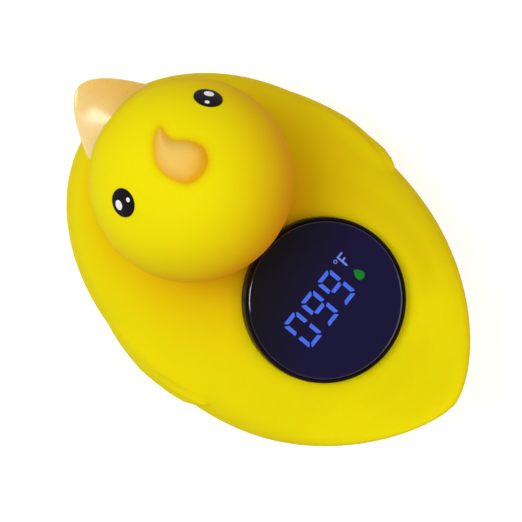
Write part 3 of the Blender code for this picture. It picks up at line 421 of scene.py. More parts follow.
def outward(obj: Piece) -> Piece:
    """Merge doubles and turn every face of a closed mesh outward."""
    bm = bmesh.new()
    bm.from_mesh(obj.data)
    bmesh.ops.remove_doubles(bm, verts=bm.verts, dist=1e-7)
    bmesh.ops.recalc_face_normals(bm, faces=bm.faces)
    bm.to_mesh(obj.data)
    bm.free()
    return obj


def baked(obj: Piece) -> Piece:
    """Turn an object's modifiers into its own plain mesh."""
    bpy.context.view_layer.update()
    evaluated = obj.evaluated_get(bpy.context.evaluated_depsgraph_get())
    mesh = bpy.data.meshes.new_from_object(evaluated)
    obj.modifiers.clear()
    obj.data = mesh
    mesh.name = obj.name
    return obj


def remeshed(obj: Piece, voxel: float) -> Piece:
    """Rebuild a piece's mesh from even voxels of a size in metres."""
    step = obj.modifiers.new("remesh", "REMESH")
    step.mode, step.voxel_size = "VOXEL", voxel
    return baked(obj)


def cut_away(obj: Piece, tool: Piece, operation: str = "DIFFERENCE") -> Piece:
    """Cut a tool away from a piece, or join it by UNION, with an exact Boolean; the tool goes."""
    step = obj.modifiers.new("boolean", "BOOLEAN")
    step.object, step.operation, step.solver = tool, operation, "EXACT"
    baked(obj)
    bpy.data.objects.remove(tool, do_unlink=True)
    return obj


def smooth_shaded(obj: Piece, angle: float) -> Piece:
    """Shade smooth, with edges sharper than an angle in degrees kept crisp."""
    obj.data.shade_smooth()
    obj.data.set_sharp_from_angle(angle=math.radians(angle))
    return obj


def joined(obj: Piece, *others: Piece) -> Piece:
    """Add other objects' meshes to an object's own; the others go."""
    for other in others:
        bm = bmesh.new()
        bm.from_mesh(obj.data)
        bm.from_mesh(other.data)
        bm.to_mesh(obj.data)
        bm.free()
        bpy.data.objects.remove(other, do_unlink=True)
    return obj


def revolved(name: str, profile: Profile, steps: int, closed: bool = False) -> Piece:
    """Body of revolution about Z.

    Args:
        name: the object's name.
        profile: (radius, height) pairs down the outer side; radius 0 makes a pole.
        steps: facets in a full turn.
        closed: True where the profile's end joins its start, as in a ring.

    Returns:
        The closed, outward-facing object.
    """
    points: list[tuple[float, float, float]] = []
    rows: list[list[int]] = []
    for radius, height in profile:
        row = []
        for step in range(1 if radius <= 0 else steps):
            turn = math.tau * step / steps
            row.append(len(points))
            points.append((radius * math.cos(turn), radius * math.sin(turn), height))
        rows.append(row * steps if len(row) == 1 else row)
    faces = []
    pairs = list(zip(rows, rows[1:])) + ([(rows[-1], rows[0])] if closed else [])
    for upper, lower in pairs:
        for step in range(steps):
            after = (step + 1) % steps
            corners = [upper[step], lower[step], lower[after], upper[after]]
            faces.append(list(dict.fromkeys(corners)))
    return outward(object_of(name, points, [face for face in faces if len(face) > 2]))


def lofted(name: str, rings: Sequence[Sequence], start: Sequence, end: Sequence) -> Piece:
    """Closed skin through rings of equal count, with a pole at each end."""
    count = len(rings[0])
    points = [tuple(point) for ring in rings for point in ring] + [tuple(start), tuple(end)]
    first, last = len(points) - 2, len(points) - 1
    faces = []
    for side in range(count):
        after = (side + 1) % count
        faces.append((first, side, after))
        faces.append((last, last - 1 - count + after, last - 1 - count + side))
        for row in range(len(rings) - 1):
            base = row * count
            faces.append((base + side, base + count + side, base + count + after, base + after))
    return outward(object_of(name, points, faces))


def relaxed(points: np.ndarray, edges: np.ndarray, rounds: int) -> np.ndarray:
    """Even out vertex places without shrinking the form.

    Args:
        points: vertex places, one row each.
        edges: pairs of vertex numbers.
        rounds: pairs of a smoothing and a swelling step.

    Returns:
        The new places.
    """
    ends = np.concatenate([edges[:, 0], edges[:, 1]])
    others = np.concatenate([edges[:, 1], edges[:, 0]])
    count = np.maximum(np.bincount(ends, minlength=len(points)), 1)[:, None]
    smoothing, swelling = 0.5, -0.52
    for _ in range(rounds):
        for step in (smoothing, swelling):
            total = np.stack([np.bincount(ends, points[others, axis], len(points))
                              for axis in range(3)], axis=1)
            points = points + step * (total / count - points)
    return points


def vertex_array(mesh: bpy.types.Mesh) -> np.ndarray:
    """Vertex places of a mesh, one row each."""
    places = np.empty((len(mesh.vertices), 3))
    mesh.vertices.foreach_get("co", places.ravel())
    return places


def edge_array(mesh: bpy.types.Mesh) -> np.ndarray:
    """Vertex number pairs of a mesh's edges."""
    pairs = np.empty((len(mesh.edges), 2), dtype=np.int32)
    mesh.edges.foreach_get("vertices", pairs.ravel())
    return pairs


def vertex_normals(mesh: bpy.types.Mesh) -> np.ndarray:
    """Vertex normals of a mesh, one row each."""
    return np.array([vertex.normal[:] for vertex in mesh.vertices])


def set_places(mesh: bpy.types.Mesh, points: np.ndarray) -> None:
    """Move a mesh's vertices to new places."""
    mesh.vertices.foreach_set("co", points.ravel())
    mesh.update()


def write_shade_and_tint(obj: Piece, depth: np.ndarray) -> None:
    """Store each vertex's painted shade and paint tint, from 0 to 1, for the material's mask."""
    attribute = obj.data.attributes.new("crease", "FLOAT", "POINT")
    attribute.data.foreach_set("value", np.clip(depth, 0, 1).astype(np.float32))


def smooth_step(value: np.ndarray | float) -> np.ndarray | float:
    """Ease from 0 to 1 with level ends."""
    held = np.clip(value, 0.0, 1.0)
    return held * held * (3 - 2 * held)


def shown(obj: Piece, finish: Finish, slot: str, *nodes: str) -> Piece:
    """Dress a finished piece and hand it to the frame.

    Args:
        obj: the piece, at the origin.
        finish: its material.
        slot: the record's material slot; not used.
        nodes: CAD nodes that it stands for.

    Returns:
        The piece.
    """
    if not obj.data.materials:
        obj.data.materials.append(finish.build())
    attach(obj, ROOT)
    if nodes:
        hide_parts(*nodes)
    LOG.info("%s: %d faces", obj.name, len(obj.data.polygons))
    return obj


# Soft body


@dataclass
class Wing:
    """Low relief of a folded wing on the body's side."""

    root_x: float = 0.0367
    length: float = 0.0325
    half_height: float = 0.0098
    centre_z: float = 0.0225
    tip_lift: float = 0.006
    relief: float = 0.00156
    edge: float = 0.0011
    upper_edge: float = 0.0040
    feather_depth: float = 0.0004
    taper: float = 0.42
    swell_share: float = 0.5
    groove_width: float = 0.0007
    groove_places: tuple[float, float] = (-0.36, 0.30)
    groove_start: float = 0.35
    groove_fade: float = 0.3

    def height(self, x: np.ndarray, z: np.ndarray) -> np.ndarray:
        """Height of the wing over the body at places seen from the side.

        Args:
            x: places along the duck.
            z: places above the ground.

        Returns:
            Heights in metres, nought outside the wing.
        """
        along = np.clip((self.root_x - x) / self.length, 0.0, 1.0)
        half = self.half_height * np.sin(np.arccos(1 - 2 * along)) * (1 - self.taper * along)
        off = z - self.centre_z - self.tip_lift * along ** 2
        inside = smooth_step((half - np.abs(off)) / np.where(off > 0, self.upper_edge, self.edge))
        swell = self.relief * np.clip(along / self.swell_share, 0.0, 1.0) * inside
        grooves = sum(np.exp(-((off - side * half) / self.groove_width) ** 2)
                      for side in self.groove_places)
        shown_from = smooth_step((along - self.groove_start) / self.groove_fade)
        return swell - self.feather_depth * grooves * inside * shown_from


@dataclass
class FoldShadeAndHalo:
    """Painted shade on the soft body, in its neck fold, in the head's shadow behind it and on the
    head's side turned from the light, plus the tuft's real paint fading round it.
    """

    reach: float = 0.0065
    forward: Triple = (0.93, 0.20, 0.0)
    # The fold's painted shade reaches further and darkens behind forward, where the head's shadow
    # falls.
    rear_reach: float = 0.9
    rear_gain: float = 0.7
    lowest: float = 0.02
    lit_side: Triple = (0.545, 0.226, 0.81)
    lit_until: float = 0.8
    lit_fade: float = 1.1
    skin: float = 0.003
    shade_gain: float = 0.45
    halo_gain: float = 0.45
    halo_reach: float = 0.0006


@dataclass
class DuckBody:
    """One soft moulding: hull, head and wings, with a smooth seat round the display."""

    half_width: float = 0.0396
    widest_x: float = 0.0169
    front_length: float = 0.0528
    rear_length: float = 0.0569
    tail_taper: float = 2.78
    tail_bluntness: float = 0.668
    deck_z: float = 0.038
    waist_drop: float = 0.0182
    keel_depth: float = 0.0045
    chest_top_power: float = 3.4
    chest_keel_power: float = 2.2
    stern_start: float = 0.031
    tail_rise_start: float = 0.033
    tail_lift: float = 0.0111
    tail_rounding: float = 0.004
    tail_rounding_power: int = 14
    hollow_end_power: int = 8
    section_power: float = 2.6
    tail_power: float = 2.0
    wall: float = 0.0025
    floor: float = 0.0042
    solid_tail: float = 0.008
    head_x: float = 0.0473
    head_z: float = 0.0562
    head_radius: float = 0.0245
    neck_blend: float = 0.0065
    head_overlap: float = 0.0002
    seat_top: float = 0.0379
    seat_radius: float = 0.0210
    seat_reach: float = 0.0095
    seat_facing: float = 1.5
    seat_depth: float = 0.004
    wing_clearance: float = 0.004
    wing_facing: float = 1.6
    rim_gap: float = 0.00012
    foot_gap: float = 0.0003
    voxel: float = 0.0007

    @property
    def head_centre(self) -> Vector:
        """Centre of the head's sphere."""
        return Vector((self.head_x, 0.0, self.head_z))

    def section(self, share: float, inset: float) -> tuple[float, ...]:
        """Station of the hull.

        Args:
            share: 1 at the chest's front, 0 at the widest place, -1 at the tail's tip.
            inset: thickness of the wall for the hollow inside, or nought.

        Returns:
            Place along the duck, half width, waist, top and keel levels, corner power.
        """
        waist_z = self.deck_z - self.waist_drop
        half_width, deck = self.half_width - inset, self.deck_z - inset
        if share >= 0:
            x = self.widest_x + share * (self.front_length - inset)
            top_fade = (1 - share ** self.chest_top_power) ** (1 / self.chest_top_power)
            keel_fade = (1 - share ** self.chest_keel_power) ** (1 / self.chest_keel_power)
            return (x, half_width * math.sqrt(1 - share ** 2), waist_z,
                    waist_z + (deck - waist_z) * top_fade,
                    waist_z - (waist_z + self.keel_depth - inset) * keel_fade, self.section_power)
        reach = -share * (self.rear_length - (self.solid_tail if inset > 0 else 0))

        def past(start: float) -> float:
            """Share of the way from a place behind the middle to the tail's tip."""
            return min(max((reach - start) / (self.rear_length - start), 0), 1)

        width = half_width * (1 - (-share) ** self.tail_taper) ** self.tail_bluntness
        rise, swell = past(self.tail_rise_start), past(self.stern_start)
        lean = past(self.widest_x) ** 2
        tip = self.deck_z + self.tail_lift
        crest = ((self.tail_lift + self.tail_rounding) * rise ** 2
                 - self.tail_rounding * rise ** self.tail_rounding_power)
        keel = (tip + self.keel_depth) * (1 - math.sqrt(1 - swell ** 2)) - self.keel_depth + inset
        waist = waist_z + (tip - waist_z) * lean
        closing = math.sqrt(max(1 - (-share) ** self.hollow_end_power, 0)) if inset > 0 else 1
        return (self.widest_x - reach, width, waist, waist + (deck + crest - waist) * closing,
                waist - (waist - keel) * closing,
                self.section_power + (self.tail_power - self.section_power) * lean)

    def hull(self, name: str, stations: int, sides: int, inset: float = 0.0,
             floor: float = 0.0) -> Piece:
        """Loft of the hull or of the hollow inside it.

        Args:
            name: the object's name.
            stations: stations from the widest place to either end.
            sides: points round each section.
            inset: wall thickness for the hollow, or nought.
            floor: level below which the form is flat.

        Returns:
            The closed object.
        """
        def bowed(part: float, power: float) -> float:
            """Cosine or sine of a section's turn, bent to the section's corners."""
            return math.copysign(abs(part) ** (2 / power), part)

        rings = []
        turns = [math.tau * side / sides for side in range(sides)]
        for step in range(1, 2 * stations):
            share = math.cos(math.pi * step / (2 * stations))
            x, width, waist, top, keel, power = self.section(share, inset)
            ring = []
            for turn in turns:
                up = bowed(math.sin(turn), power)
                level = waist + up * ((top - waist) if up > 0 else (waist - keel))
                ring.append((x, width * bowed(math.cos(turn), power), max(level, floor)))
            rings.append(ring)
        front, tail = self.section(1.0, inset), self.section(-1.0, inset)
        return lofted(name, rings, (front[0], 0, front[2]), (tail[0], 0, tail[2]))

    def distance(self, points: np.ndarray, tree: BVHTree
                 ) -> tuple[np.ndarray, np.ndarray, np.ndarray]:
        """Signed distances of points from the smooth union of hull and head.

        Args:
            points: places, one row each.
            tree: the hull's surface for nearest-place queries.

        Returns:
            Distances from the union, from the hull and from the head.
        """
        hull = np.empty(len(points))
        for number, point in enumerate(points):
            place = Vector(point)
            near, normal, _, away = tree.find_nearest(place)
            hull[number] = math.copysign(away, (place - near).dot(normal))
        head = np.linalg.norm(points - np.array(self.head_centre), axis=1) - self.head_radius
        close = np.maximum(self.neck_blend - np.abs(hull - head), 0.0) / self.neck_blend
        return np.minimum(hull, head) - close * close * self.neck_blend / 4, hull, head

    def with_head(self, bm: bmesh.types.BMesh, subdivisions: int, radius: float
                  ) -> bmesh.types.BMesh:
        """Add a ball of a radius at the head's centre to a BMesh."""
        bmesh.ops.create_icosphere(bm, subdivisions=subdivisions, radius=radius,
                                   matrix=Matrix.Translation(self.head_centre))
        return bm

    def rough_form(self, hull: Piece) -> Piece:
        """Even mesh of the joined hull and head."""
        bm = bmesh.new()
        bm.from_mesh(hull.data)
        self.with_head(bm, subdivisions=5, radius=self.head_radius + self.head_overlap)
        return remeshed(from_bmesh("duck_body", bm), self.voxel)

    def settle(self, body: Piece, tree: BVHTree) -> None:
        """Move the rough form onto the union, level the display's seat and raise the wings.

        Args:
            body: the rough form.
            tree: the hull's surface.
        """
        mesh = body.data
        edges = edge_array(mesh)
        points = relaxed(vertex_array(mesh), edges, rounds=3)
        for _ in range(3):
            set_places(mesh, points)
            points = points - self.distance(points, tree)[0][:, None] * vertex_normals(mesh)
            points = relaxed(points, edges, rounds=1)
        set_places(mesh, points)
        normals = vertex_normals(mesh)
        beside = (np.hypot(points[:, 0], points[:, 1]) - self.seat_radius) / self.seat_reach
        rise = self.seat_top - points[:, 2]
        held = ((1 - smooth_step(beside)) * np.clip(normals[:, 2] * self.seat_facing, 0, 1)
                * np.exp(-(rise / self.seat_depth) ** 2))
        points[:, 2] += rise * held
        away = np.linalg.norm(points - np.array(self.head_centre), axis=1)
        raise_by = (Wing().height(points[:, 0], points[:, 2])
                    * (away > self.head_radius + self.wing_clearance))
        sideways = np.clip(np.abs(normals[:, 1]) * self.wing_facing, 0.0, 1.0)
        points = points + normals * (raise_by * sideways)[:, None]
        points = relaxed(points, edges, rounds=3)
        points[:, 2] = np.maximum(points[:, 2], 0.0)
        set_places(mesh, points)

    def mark_painted_shade(self, body: Piece, tree: BVHTree) -> None:
        """Write the painted shade at each vertex, and the tuft's paint fading round it.

        Args:
            body: the finished form.
            tree: the hull's surface.
        """
        tint = FoldShadeAndHalo()
        points = vertex_array(body.data)
        _, hull, head = self.distance(points, tree)
        outward_by = points - np.array(self.head_centre)
        outward_by /= np.linalg.norm(outward_by, axis=1)[:, None]
        # Painted shade in the neck fold, reaching further and darker behind the head, where its
        # shadow falls.
        rear = np.clip(-outward_by @ np.array(tint.forward), 0, 1)
        reach = tint.reach * (1 + tint.rear_reach * rear)
        fold = np.exp(-(np.maximum(hull, 0) + np.maximum(head, 0)) / reach)
        shade_and_halo = (1 + tint.rear_gain * rear) * fold * (points[:, 2] > tint.lowest)
        # Painted shade on the head's side turned away from the light.
        facing = outward_by @ np.array(tint.lit_side)
        shade_and_halo = shade_and_halo + tint.shade_gain * (
            smooth_step((tint.lit_until - facing) / tint.lit_fade)
            * smooth_step((tint.skin - np.abs(head)) / tint.skin))
        # Real paint of the tuft fading into the head round its edge.
        crown = points[:, 2] > self.head_z + self.head_radius / 2
        beyond = np.maximum(-Tuft(self).inside_by(points[crown]), 0)
        shade_and_halo[crown] += tint.halo_gain * np.exp(-beyond / tint.halo_reach)
        write_shade_and_tint(body, shade_and_halo)

    def module_space(self) -> Piece:
        """Cutter for the display's seat, the module's shaft and the foot's recess."""
        rim, foot = RIM_RADIUS + self.rim_gap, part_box("lower_housing")[1].x + self.foot_gap
        groove, shaft, collar = 0.0196, 0.0212, 0.0225
        over, lip_top, lip_under, collar_top, recess, under = (0.046, 0.0376, 0.0351, 0.0063,
                                                               0.0018, -0.004)
        return revolved("module_space", [
            (0, over), (rim, over), (rim, lip_top), (groove, lip_top), (groove, lip_under),
            (shaft, lip_under), (shaft, collar_top), (collar, collar_top), (collar, self.floor),
            (shaft, self.floor), (shaft, recess), (foot, recess), (foot, under), (0, under)],
            steps=160)

    def build(self) -> Piece:
        """Make the hollow body with its sockets, and dress it.

        Returns:
            The finished piece.
        """
        hull = self.hull("hull", stations=60, sides=160)
        tree = BVHTree.FromObject(hull, bpy.context.evaluated_depsgraph_get())
        body = self.rough_form(hull)
        self.settle(body, tree)
        bpy.data.objects.remove(hull, do_unlink=True)
        cut_away(body, self.hull("hollow", stations=12, sides=36, inset=self.wall,
                                 floor=self.floor))
        inner = self.with_head(bmesh.new(), subdivisions=4, radius=self.head_radius - self.wall)
        cut_away(body, from_bmesh("head_hollow", inner))
        cut_away(body, self.module_space())
        self.mark_painted_shade(body, tree)
        smooth_shaded(body, angle=40)
        return shown(body, SILICONE_AND_PAINTED_SHADE, "soft_yellow", "duck_skin")


# Head pieces


@dataclass
class Bill:
    """Wide upturned bill of two glossy halves that meet in a mouth line."""

    tip_x: float = 0.0823
    tip_z: float = 0.0542
    root_x: float = 0.0612
    root_z: float = 0.0515
    half_width: float = 0.0113
    full_at: float = 0.0128
    spread_power: float = 0.55
    crown: float = 0.0021
    bulge: float = 0.0034
    bulge_half: float = 0.0062
    bulge_from: float = 0.0035
    bulge_reach: float = 0.011
    swell_reach: float = 0.016
    swell_power: float = 0.62
    upper_depth: float = 0.0012
    jaw_crown: float = 0.0010
    jaw_depth: float = 0.0036
    jaw_back: float = 0.0022
    jaw_share: float = 0.86
    jaw_drop: float = 0.0012

    def half(self, name: str, setback: float, share: float, up: float, down: float,
             drop: float) -> Piece:
        """One half of the bill.

        Args:
            name: the object's name.
            setback: how far its tip lies behind the bill's tip.
            share: its width as a share of the bill's.
            up: dome above its edge.
            down: depth below its edge.
            drop: how far its edge lies below the bill's edge.

        Returns:
            The closed object.
        """
        rings, sides, stations = [], 64, 34
        length = self.tip_x - setback - self.root_x
        for step in range(1, stations + 1):
            along = length * (1 - math.cos(math.pi / 2 * step / stations))
            width = share * self.half_width * min((along / self.full_at) ** self.spread_power, 1.0)
            swell = (1 - (1 - min(along / self.swell_reach, 1.0)) ** 2) ** self.swell_power
            level = self.root_z + (self.tip_z - self.root_z) * (1 - along / length) ** 2 - drop
            ring = []
            for side in range(sides):
                turn = math.tau * side / sides
                across, high = math.cos(turn), math.sin(turn)
                rise = (up if high > 0 else down) * swell * high
                if high > 0 and drop == 0:
                    swelling = smooth_step((along - self.bulge_from) / self.bulge_reach)
                    ridge = math.exp(-(width * across / self.bulge_half) ** 2)
                    rise += self.bulge * swelling * ridge * high
                ring.append((self.tip_x - setback - along, width * across, level + rise))
            rings.append(ring)
        tip = (self.tip_x - setback, 0, self.tip_z - drop)
        return lofted(name, rings, tip, (self.root_x, 0, self.root_z - drop))

    def build(self) -> Piece:
        """Join the halves and dress the bill.

        Returns:
            The finished piece.
        """
        bill = self.half("bill_gloss", 0.0, 1.0, self.crown, self.upper_depth, 0.0)
        jaw = self.half("jaw", self.jaw_back, self.jaw_share, self.jaw_crown, self.jaw_depth,
                        self.jaw_drop)
        cut_away(bill, jaw, "UNION")
        smooth_shaded(bill, angle=50)
        return shown(bill, PEACH_AND_PAINTED_LIGHT, "glossy_peach", "bill")


# Edge of the curl, forward and left of the head's centre in millimetres.
CURL = ((16.5, -3.1), (15.9, 0.4), (12.9, 4.0), (10.1, 5.4), (6.6, 5.1), (3.8, 4.0),
        (2.5, 1.6), (2.4, -1.3), (3.5, -3.8), (5.8, -5.4), (8.1, -5.2), (10.3, -4.3),
        (12.2, -2.7), (14.0, -2.5))


@dataclass
class Tuft:
    """Comma-shaped curl of hair in soft relief on the crown."""

    head: DuckBody
    depth: float = 0.0014
    height: float = 0.0021
    shoulder: float = 0.0036
    edge_lift: float = -0.0001
    voxel: float = 0.00026
    edge_tint: float = 0.8
    edge_tint_reach: float = 0.0026
    # Painted shade toward the curl's rear and right, away from the key light.
    rear_shade: float = 0.7
    rear_shade_from: float = 0.0575
    rear_shade_slope: float = 0.35
    rear_shade_reach: float = 0.0075

    def outline(self) -> list[tuple[float, float]]:
        """Places of the curl's smooth edge in metres."""
        edge, count, steps = [], len(CURL), 6
        for number in range(count):
            before, here, there, after = (Vector(CURL[(number + step) % count])
                                          for step in (-1, 0, 1, 2))
            for step in range(steps):
                share = step / steps
                edge.append(0.5 * ((2 * here) + (there - before) * share
                                   + (2 * before - 5 * here + 4 * there - after) * share ** 2
                                   + (3 * here - before - 3 * there + after) * share ** 3))
        return [(place.x / 1000, place.y / 1000) for place in edge]

    def on_head(self, x: float, y: float, lift: float) -> Vector:
        """Place over the head's sphere, at a lift above it along the sphere's normal."""
        radius = self.head.head_radius
        flat = Vector((x, y, math.sqrt(max(radius ** 2 - x ** 2 - y ** 2, 0))))
        return self.head.head_centre + flat.normalized() * (radius + lift)

    def prism(self) -> Piece:
        """Closed slab on the outline, from inside the head's wall to over the curl."""
        edge = self.outline()
        low = [self.on_head(x, y, -self.depth) for x, y in edge]
        high = [self.on_head(x, y, 2 * self.height) for x, y in edge]
        bm = bmesh.new()
        rows = [[bm.verts.new(place) for place in row] for row in (low, high)]
        for number in range(len(edge)):
            after = (number + 1) % len(edge)
            bm.faces.new((rows[0][number], rows[0][after], rows[1][after], rows[1][number]))
        for row in rows:
            bmesh.ops.triangle_fill(bm, use_beauty=True, edges=[
                bm.edges.get((row[number], row[(number + 1) % len(row)]))
                for number in range(len(row))])
        return outward(from_bmesh("hair_tuft", bm))

    def inside_by(self, points: np.ndarray) -> np.ndarray:
        """How far places lie inside the outline, seen from the head's centre upward.

        Args:
            points: places, one row each.

        Returns:
            Distances in metres, below nought outside.
        """
        centre, radius = np.array(self.head.head_centre), self.head.head_radius
        flat = (points - centre) / np.linalg.norm(points - centre, axis=1)[:, None] * radius
        here = flat[:, :2]
        edge = np.array(self.outline())
        after = np.roll(edge, -1, axis=0)
        step = after - edge
        offset = here[:, None, :] - edge[None]
        share = np.clip((offset * step).sum(2) / (step * step).sum(1), 0, 1)
        away = np.linalg.norm(offset - share[..., None] * step, axis=2).min(axis=1)
        above = (edge[None, :, 1] > here[:, None, 1]) != (after[None, :, 1] > here[:, None, 1])
        rise = np.where(step[:, 1] == 0, 1e-12, step[:, 1])
        beyond = (here[:, None, 1] - edge[None, :, 1]) / rise * step[None, :, 0]
        crossing = edge[None, :, 0] + beyond
        inside = (above & (here[:, None, 0] < crossing)).sum(axis=1) % 2 == 1
        return np.where(inside, away, -away)

    def build(self) -> Piece:
        """Make the curl and dress it.

        Returns:
            The finished piece.
        """
        tuft = remeshed(self.prism(), self.voxel)
        self.pillow(tuft)
        remeshed(tuft, self.voxel)
        points = relaxed(vertex_array(tuft.data), edge_array(tuft.data), rounds=4)
        set_places(tuft.data, points)
        # The edge term is the real paint fading into the head; the rear term is painted shade on
        # the curl's rear and right, away from the key light.
        edge = 1 - smooth_step(self.inside_by(points) / self.edge_tint_reach)
        rear = smooth_step((self.rear_shade_from - points[:, 0]
                            - self.rear_shade_slope * points[:, 1]) / self.rear_shade_reach)
        write_shade_and_tint(tuft, edge * self.edge_tint + rear * self.rear_shade)
        smooth_shaded(tuft, angle=80)
        return shown(tuft, TUFT_AND_PAINTED_SHADE, "soft_amber", "tuft")

    def pillow(self, tuft: Piece) -> None:
        """Press the slab's top into a soft pillow that meets the head at the outline."""
        points = vertex_array(tuft.data)
        centre = np.array(self.head.head_centre)
        outward_by = points - centre
        reach = np.linalg.norm(outward_by, axis=1)
        swell = np.clip(self.inside_by(points) / self.shoulder, 0, 1)
        dome = self.height * smooth_step(swell) ** 0.75 + self.edge_lift
        held = np.minimum(reach, self.head.head_radius + dome)
        set_places(tuft.data, centre + outward_by / reach[:, None] * held[:, None])


@dataclass
class Eye:
    """Printed eye: a thin dark disc with two pale dots, laid on the head's sphere."""

    head: DuckBody
    side: int
    radius: float = 0.0035
    azimuth: float = 54.4
    elevation: float = 36.6
    proud: float = 0.00018
    depth: float = 0.0007
    dot_proud: float = 0.00005
    dot_depth: float = 0.0001
    dots: tuple[tuple[float, float, float, float], ...] = (
        (0.00125, 0.87, 0.0003, -0.0013), (0.00060, 0.95, -0.0005, 0.0020))
    edge_width: float = 0.00012
    edge_drop: float = 0.00006

    def placed(self, right: float, up: float) -> Matrix:
        """Matrix that stands a disc on the sphere, at an offset from the eye's middle."""
        flat = math.radians(self.azimuth) * self.side
        rise = math.radians(self.elevation)
        facing = Vector((math.cos(rise) * math.cos(flat), math.cos(rise) * math.sin(flat),
                         math.sin(rise)))
        upward = (Vector((0, 0, 1)) - facing * facing.z).normalized()
        rearward = upward.cross(facing) * self.side
        aim = (facing * self.head.head_radius + upward * up + rearward * right).normalized()
        across = (rearward - aim * rearward.dot(aim)).normalized()
        turn = Matrix((across, aim.cross(across), aim)).transposed().to_4x4()
        return Matrix.Translation(self.head.head_centre) @ turn

    def disc(self, name: str, radius: float, proud: float, deep: float, stretch: float = 1.0,
             right: float = 0.0, up: float = 0.0) -> Piece:
        """Thin cap that follows the sphere.

        Args:
            name: the object's name.
            radius: the cap's radius across the eye.
            proud: its height over the head.
            deep: its depth under the head's surface.
            stretch: its height as a share of its width.
            right: offset rearward from the eye's middle.
            up: offset toward the crown.

        Returns:
            The closed object.
        """
        outer, steps = self.head.head_radius + proud, 8
        profile = [(0.0, outer)]
        for step in range(1, steps + 1):
            spot = (radius - self.edge_width) * step / steps
            profile.append((spot, math.sqrt(outer ** 2 - spot ** 2)))
        shoulder = math.sqrt(outer ** 2 - radius ** 2) - self.edge_drop
        profile += [(radius, shoulder), (radius, shoulder - deep), (0.0, shoulder - deep)]
        made = revolved(name, profile, steps=72)
        made.data.transform(Matrix.Diagonal((1.0, stretch, 1.0, 1.0)))
        made.data.transform(self.placed(right, up))
        return smooth_shaded(made, angle=30)

    def build(self) -> None:
        """Make and dress the disc and its dots."""
        name = "left" if self.side > 0 else "right"
        disc = self.disc(f"eye_disc_{name}", self.radius, self.proud, self.depth)
        shown(disc, EYE_BLACK, "eye_black", f"eye_{name}")
        dots = [self.disc(f"eye_dots_{name}", radius, self.proud + self.dot_proud,
                          self.dot_depth, stretch, right, up)
                for radius, stretch, right, up in self.dots]
        shown(joined(*dots), EYE_WHITE, "eye_black")


# Display


class Bar(Enum):
    """Bars of a digit, by their place."""

    TOP = (1.0, 0.0, 0)
    MIDDLE = (0.0, 0.0, 0)
    BOTTOM = (-1.0, 0.0, 2)
    UPPER_LEFT = (0.5, 1.0, 1)
    UPPER_RIGHT = (0.5, -1.0, 3)
    LOWER_LEFT = (-0.5, 1.0, 1)
    LOWER_RIGHT = (-0.5, -1.0, 3)


NOUGHT = (Bar.TOP, Bar.BOTTOM, Bar.UPPER_LEFT, Bar.UPPER_RIGHT, Bar.LOWER_LEFT, Bar.LOWER_RIGHT)
NINE = (Bar.TOP, Bar.MIDDLE, Bar.BOTTOM, Bar.UPPER_LEFT, Bar.UPPER_RIGHT, Bar.LOWER_RIGHT)


@dataclass
class BarTree:
    """Geometry Nodes tree that lays one bar on every point, turned by the point's quarters."""

    name: str = "lit_bars"

    def build(self, finish: Finish) -> bpy.types.NodeTree:
        """Build the tree.

        Args:
            finish: material of the bars.

        Returns:
            The tree, with Bar Length, Bar Width, two Slant, Corner and Thickness inputs.
        """
        sheet, given, out = group_sheet(
            self.name, [("Geometry", "Geometry"), ("Bar Length", "Float", 0.0041),
                        ("Bar Width", "Float", 0.00105), ("First Slant", "Float", 0.00085),
                        ("Second Slant", "Float", 0.00085), ("Corner", "Float", 0.0002),
                        ("Thickness", "Float", 0.00005)],
            [("Geometry", "Geometry")], "GeometryNodeTree")
        sockets = given.outputs
        half_length, half_width = (sheet.maths("MULTIPLY", sockets[name], 0.5)
                                   for name in ("Bar Length", "Bar Width"))
        start, inner = (sheet.maths("MULTIPLY", half, -1.0) for half in (half_length, half_width))
        corners = ((start, half_width), (half_length, half_width),
                   (sheet.maths("SUBTRACT", half_length, sockets["Second Slant"]), inner),
                   (sheet.maths("ADD", start, sockets["First Slant"]), inner))
        outline = sheet.add("GeometryNodeCurvePrimitiveQuadrilateral", {
            f"Point {number}": sheet.add("ShaderNodeCombineXYZ", {"X": x, "Y": y}).outputs[0]
            for number, (x, y) in enumerate(corners, 1)}, mode="POINTS")
        rounded = sheet.add("GeometryNodeFilletCurve", {
            "Radius": sockets["Corner"], "Count": 3, "Curve": outline.outputs["Curve"]},
            mode="POLY")
        filled = sheet.add("GeometryNodeFillCurve", {"Curve": rounded.outputs["Curve"]},
                           mode="NGONS")
        thick = sheet.add("GeometryNodeExtrudeMesh", {
            "Mesh": filled.outputs["Mesh"], "Offset Scale": sockets["Thickness"],
            "Individual": False}, mode="FACES")
        whole = sheet.add("GeometryNodeJoinGeometry")
        for half in (filled, thick):
            sheet.fill(whole, {0: half.outputs["Mesh"]})
        quarter, flip = (sheet.add("GeometryNodeInputNamedAttribute", {"Name": name},
                                   data_type="FLOAT").outputs[0] for name in ("quarter", "flip"))
        angle = sheet.maths("MULTIPLY", quarter, math.pi / 2)
        turn = sheet.add("ShaderNodeCombineXYZ", {"Z": angle})
        scale = sheet.add("ShaderNodeCombineXYZ", {"X": flip, "Y": 1.0, "Z": 1.0})
        laid = sheet.add("GeometryNodeInstanceOnPoints", {
            "Points": sockets["Geometry"], "Instance": whole.outputs[0],
            "Rotation": turn.outputs[0], "Scale": scale.outputs[0]})
        real = sheet.add("GeometryNodeRealizeInstances", {"Geometry": laid.outputs[0]})
        dressed = sheet.add("GeometryNodeSetMaterial", {"Geometry": real.outputs[0],
                                                        "Material": finish.build()})
        sheet.fill(out, {0: dressed.outputs[0]})
        return sheet.tree


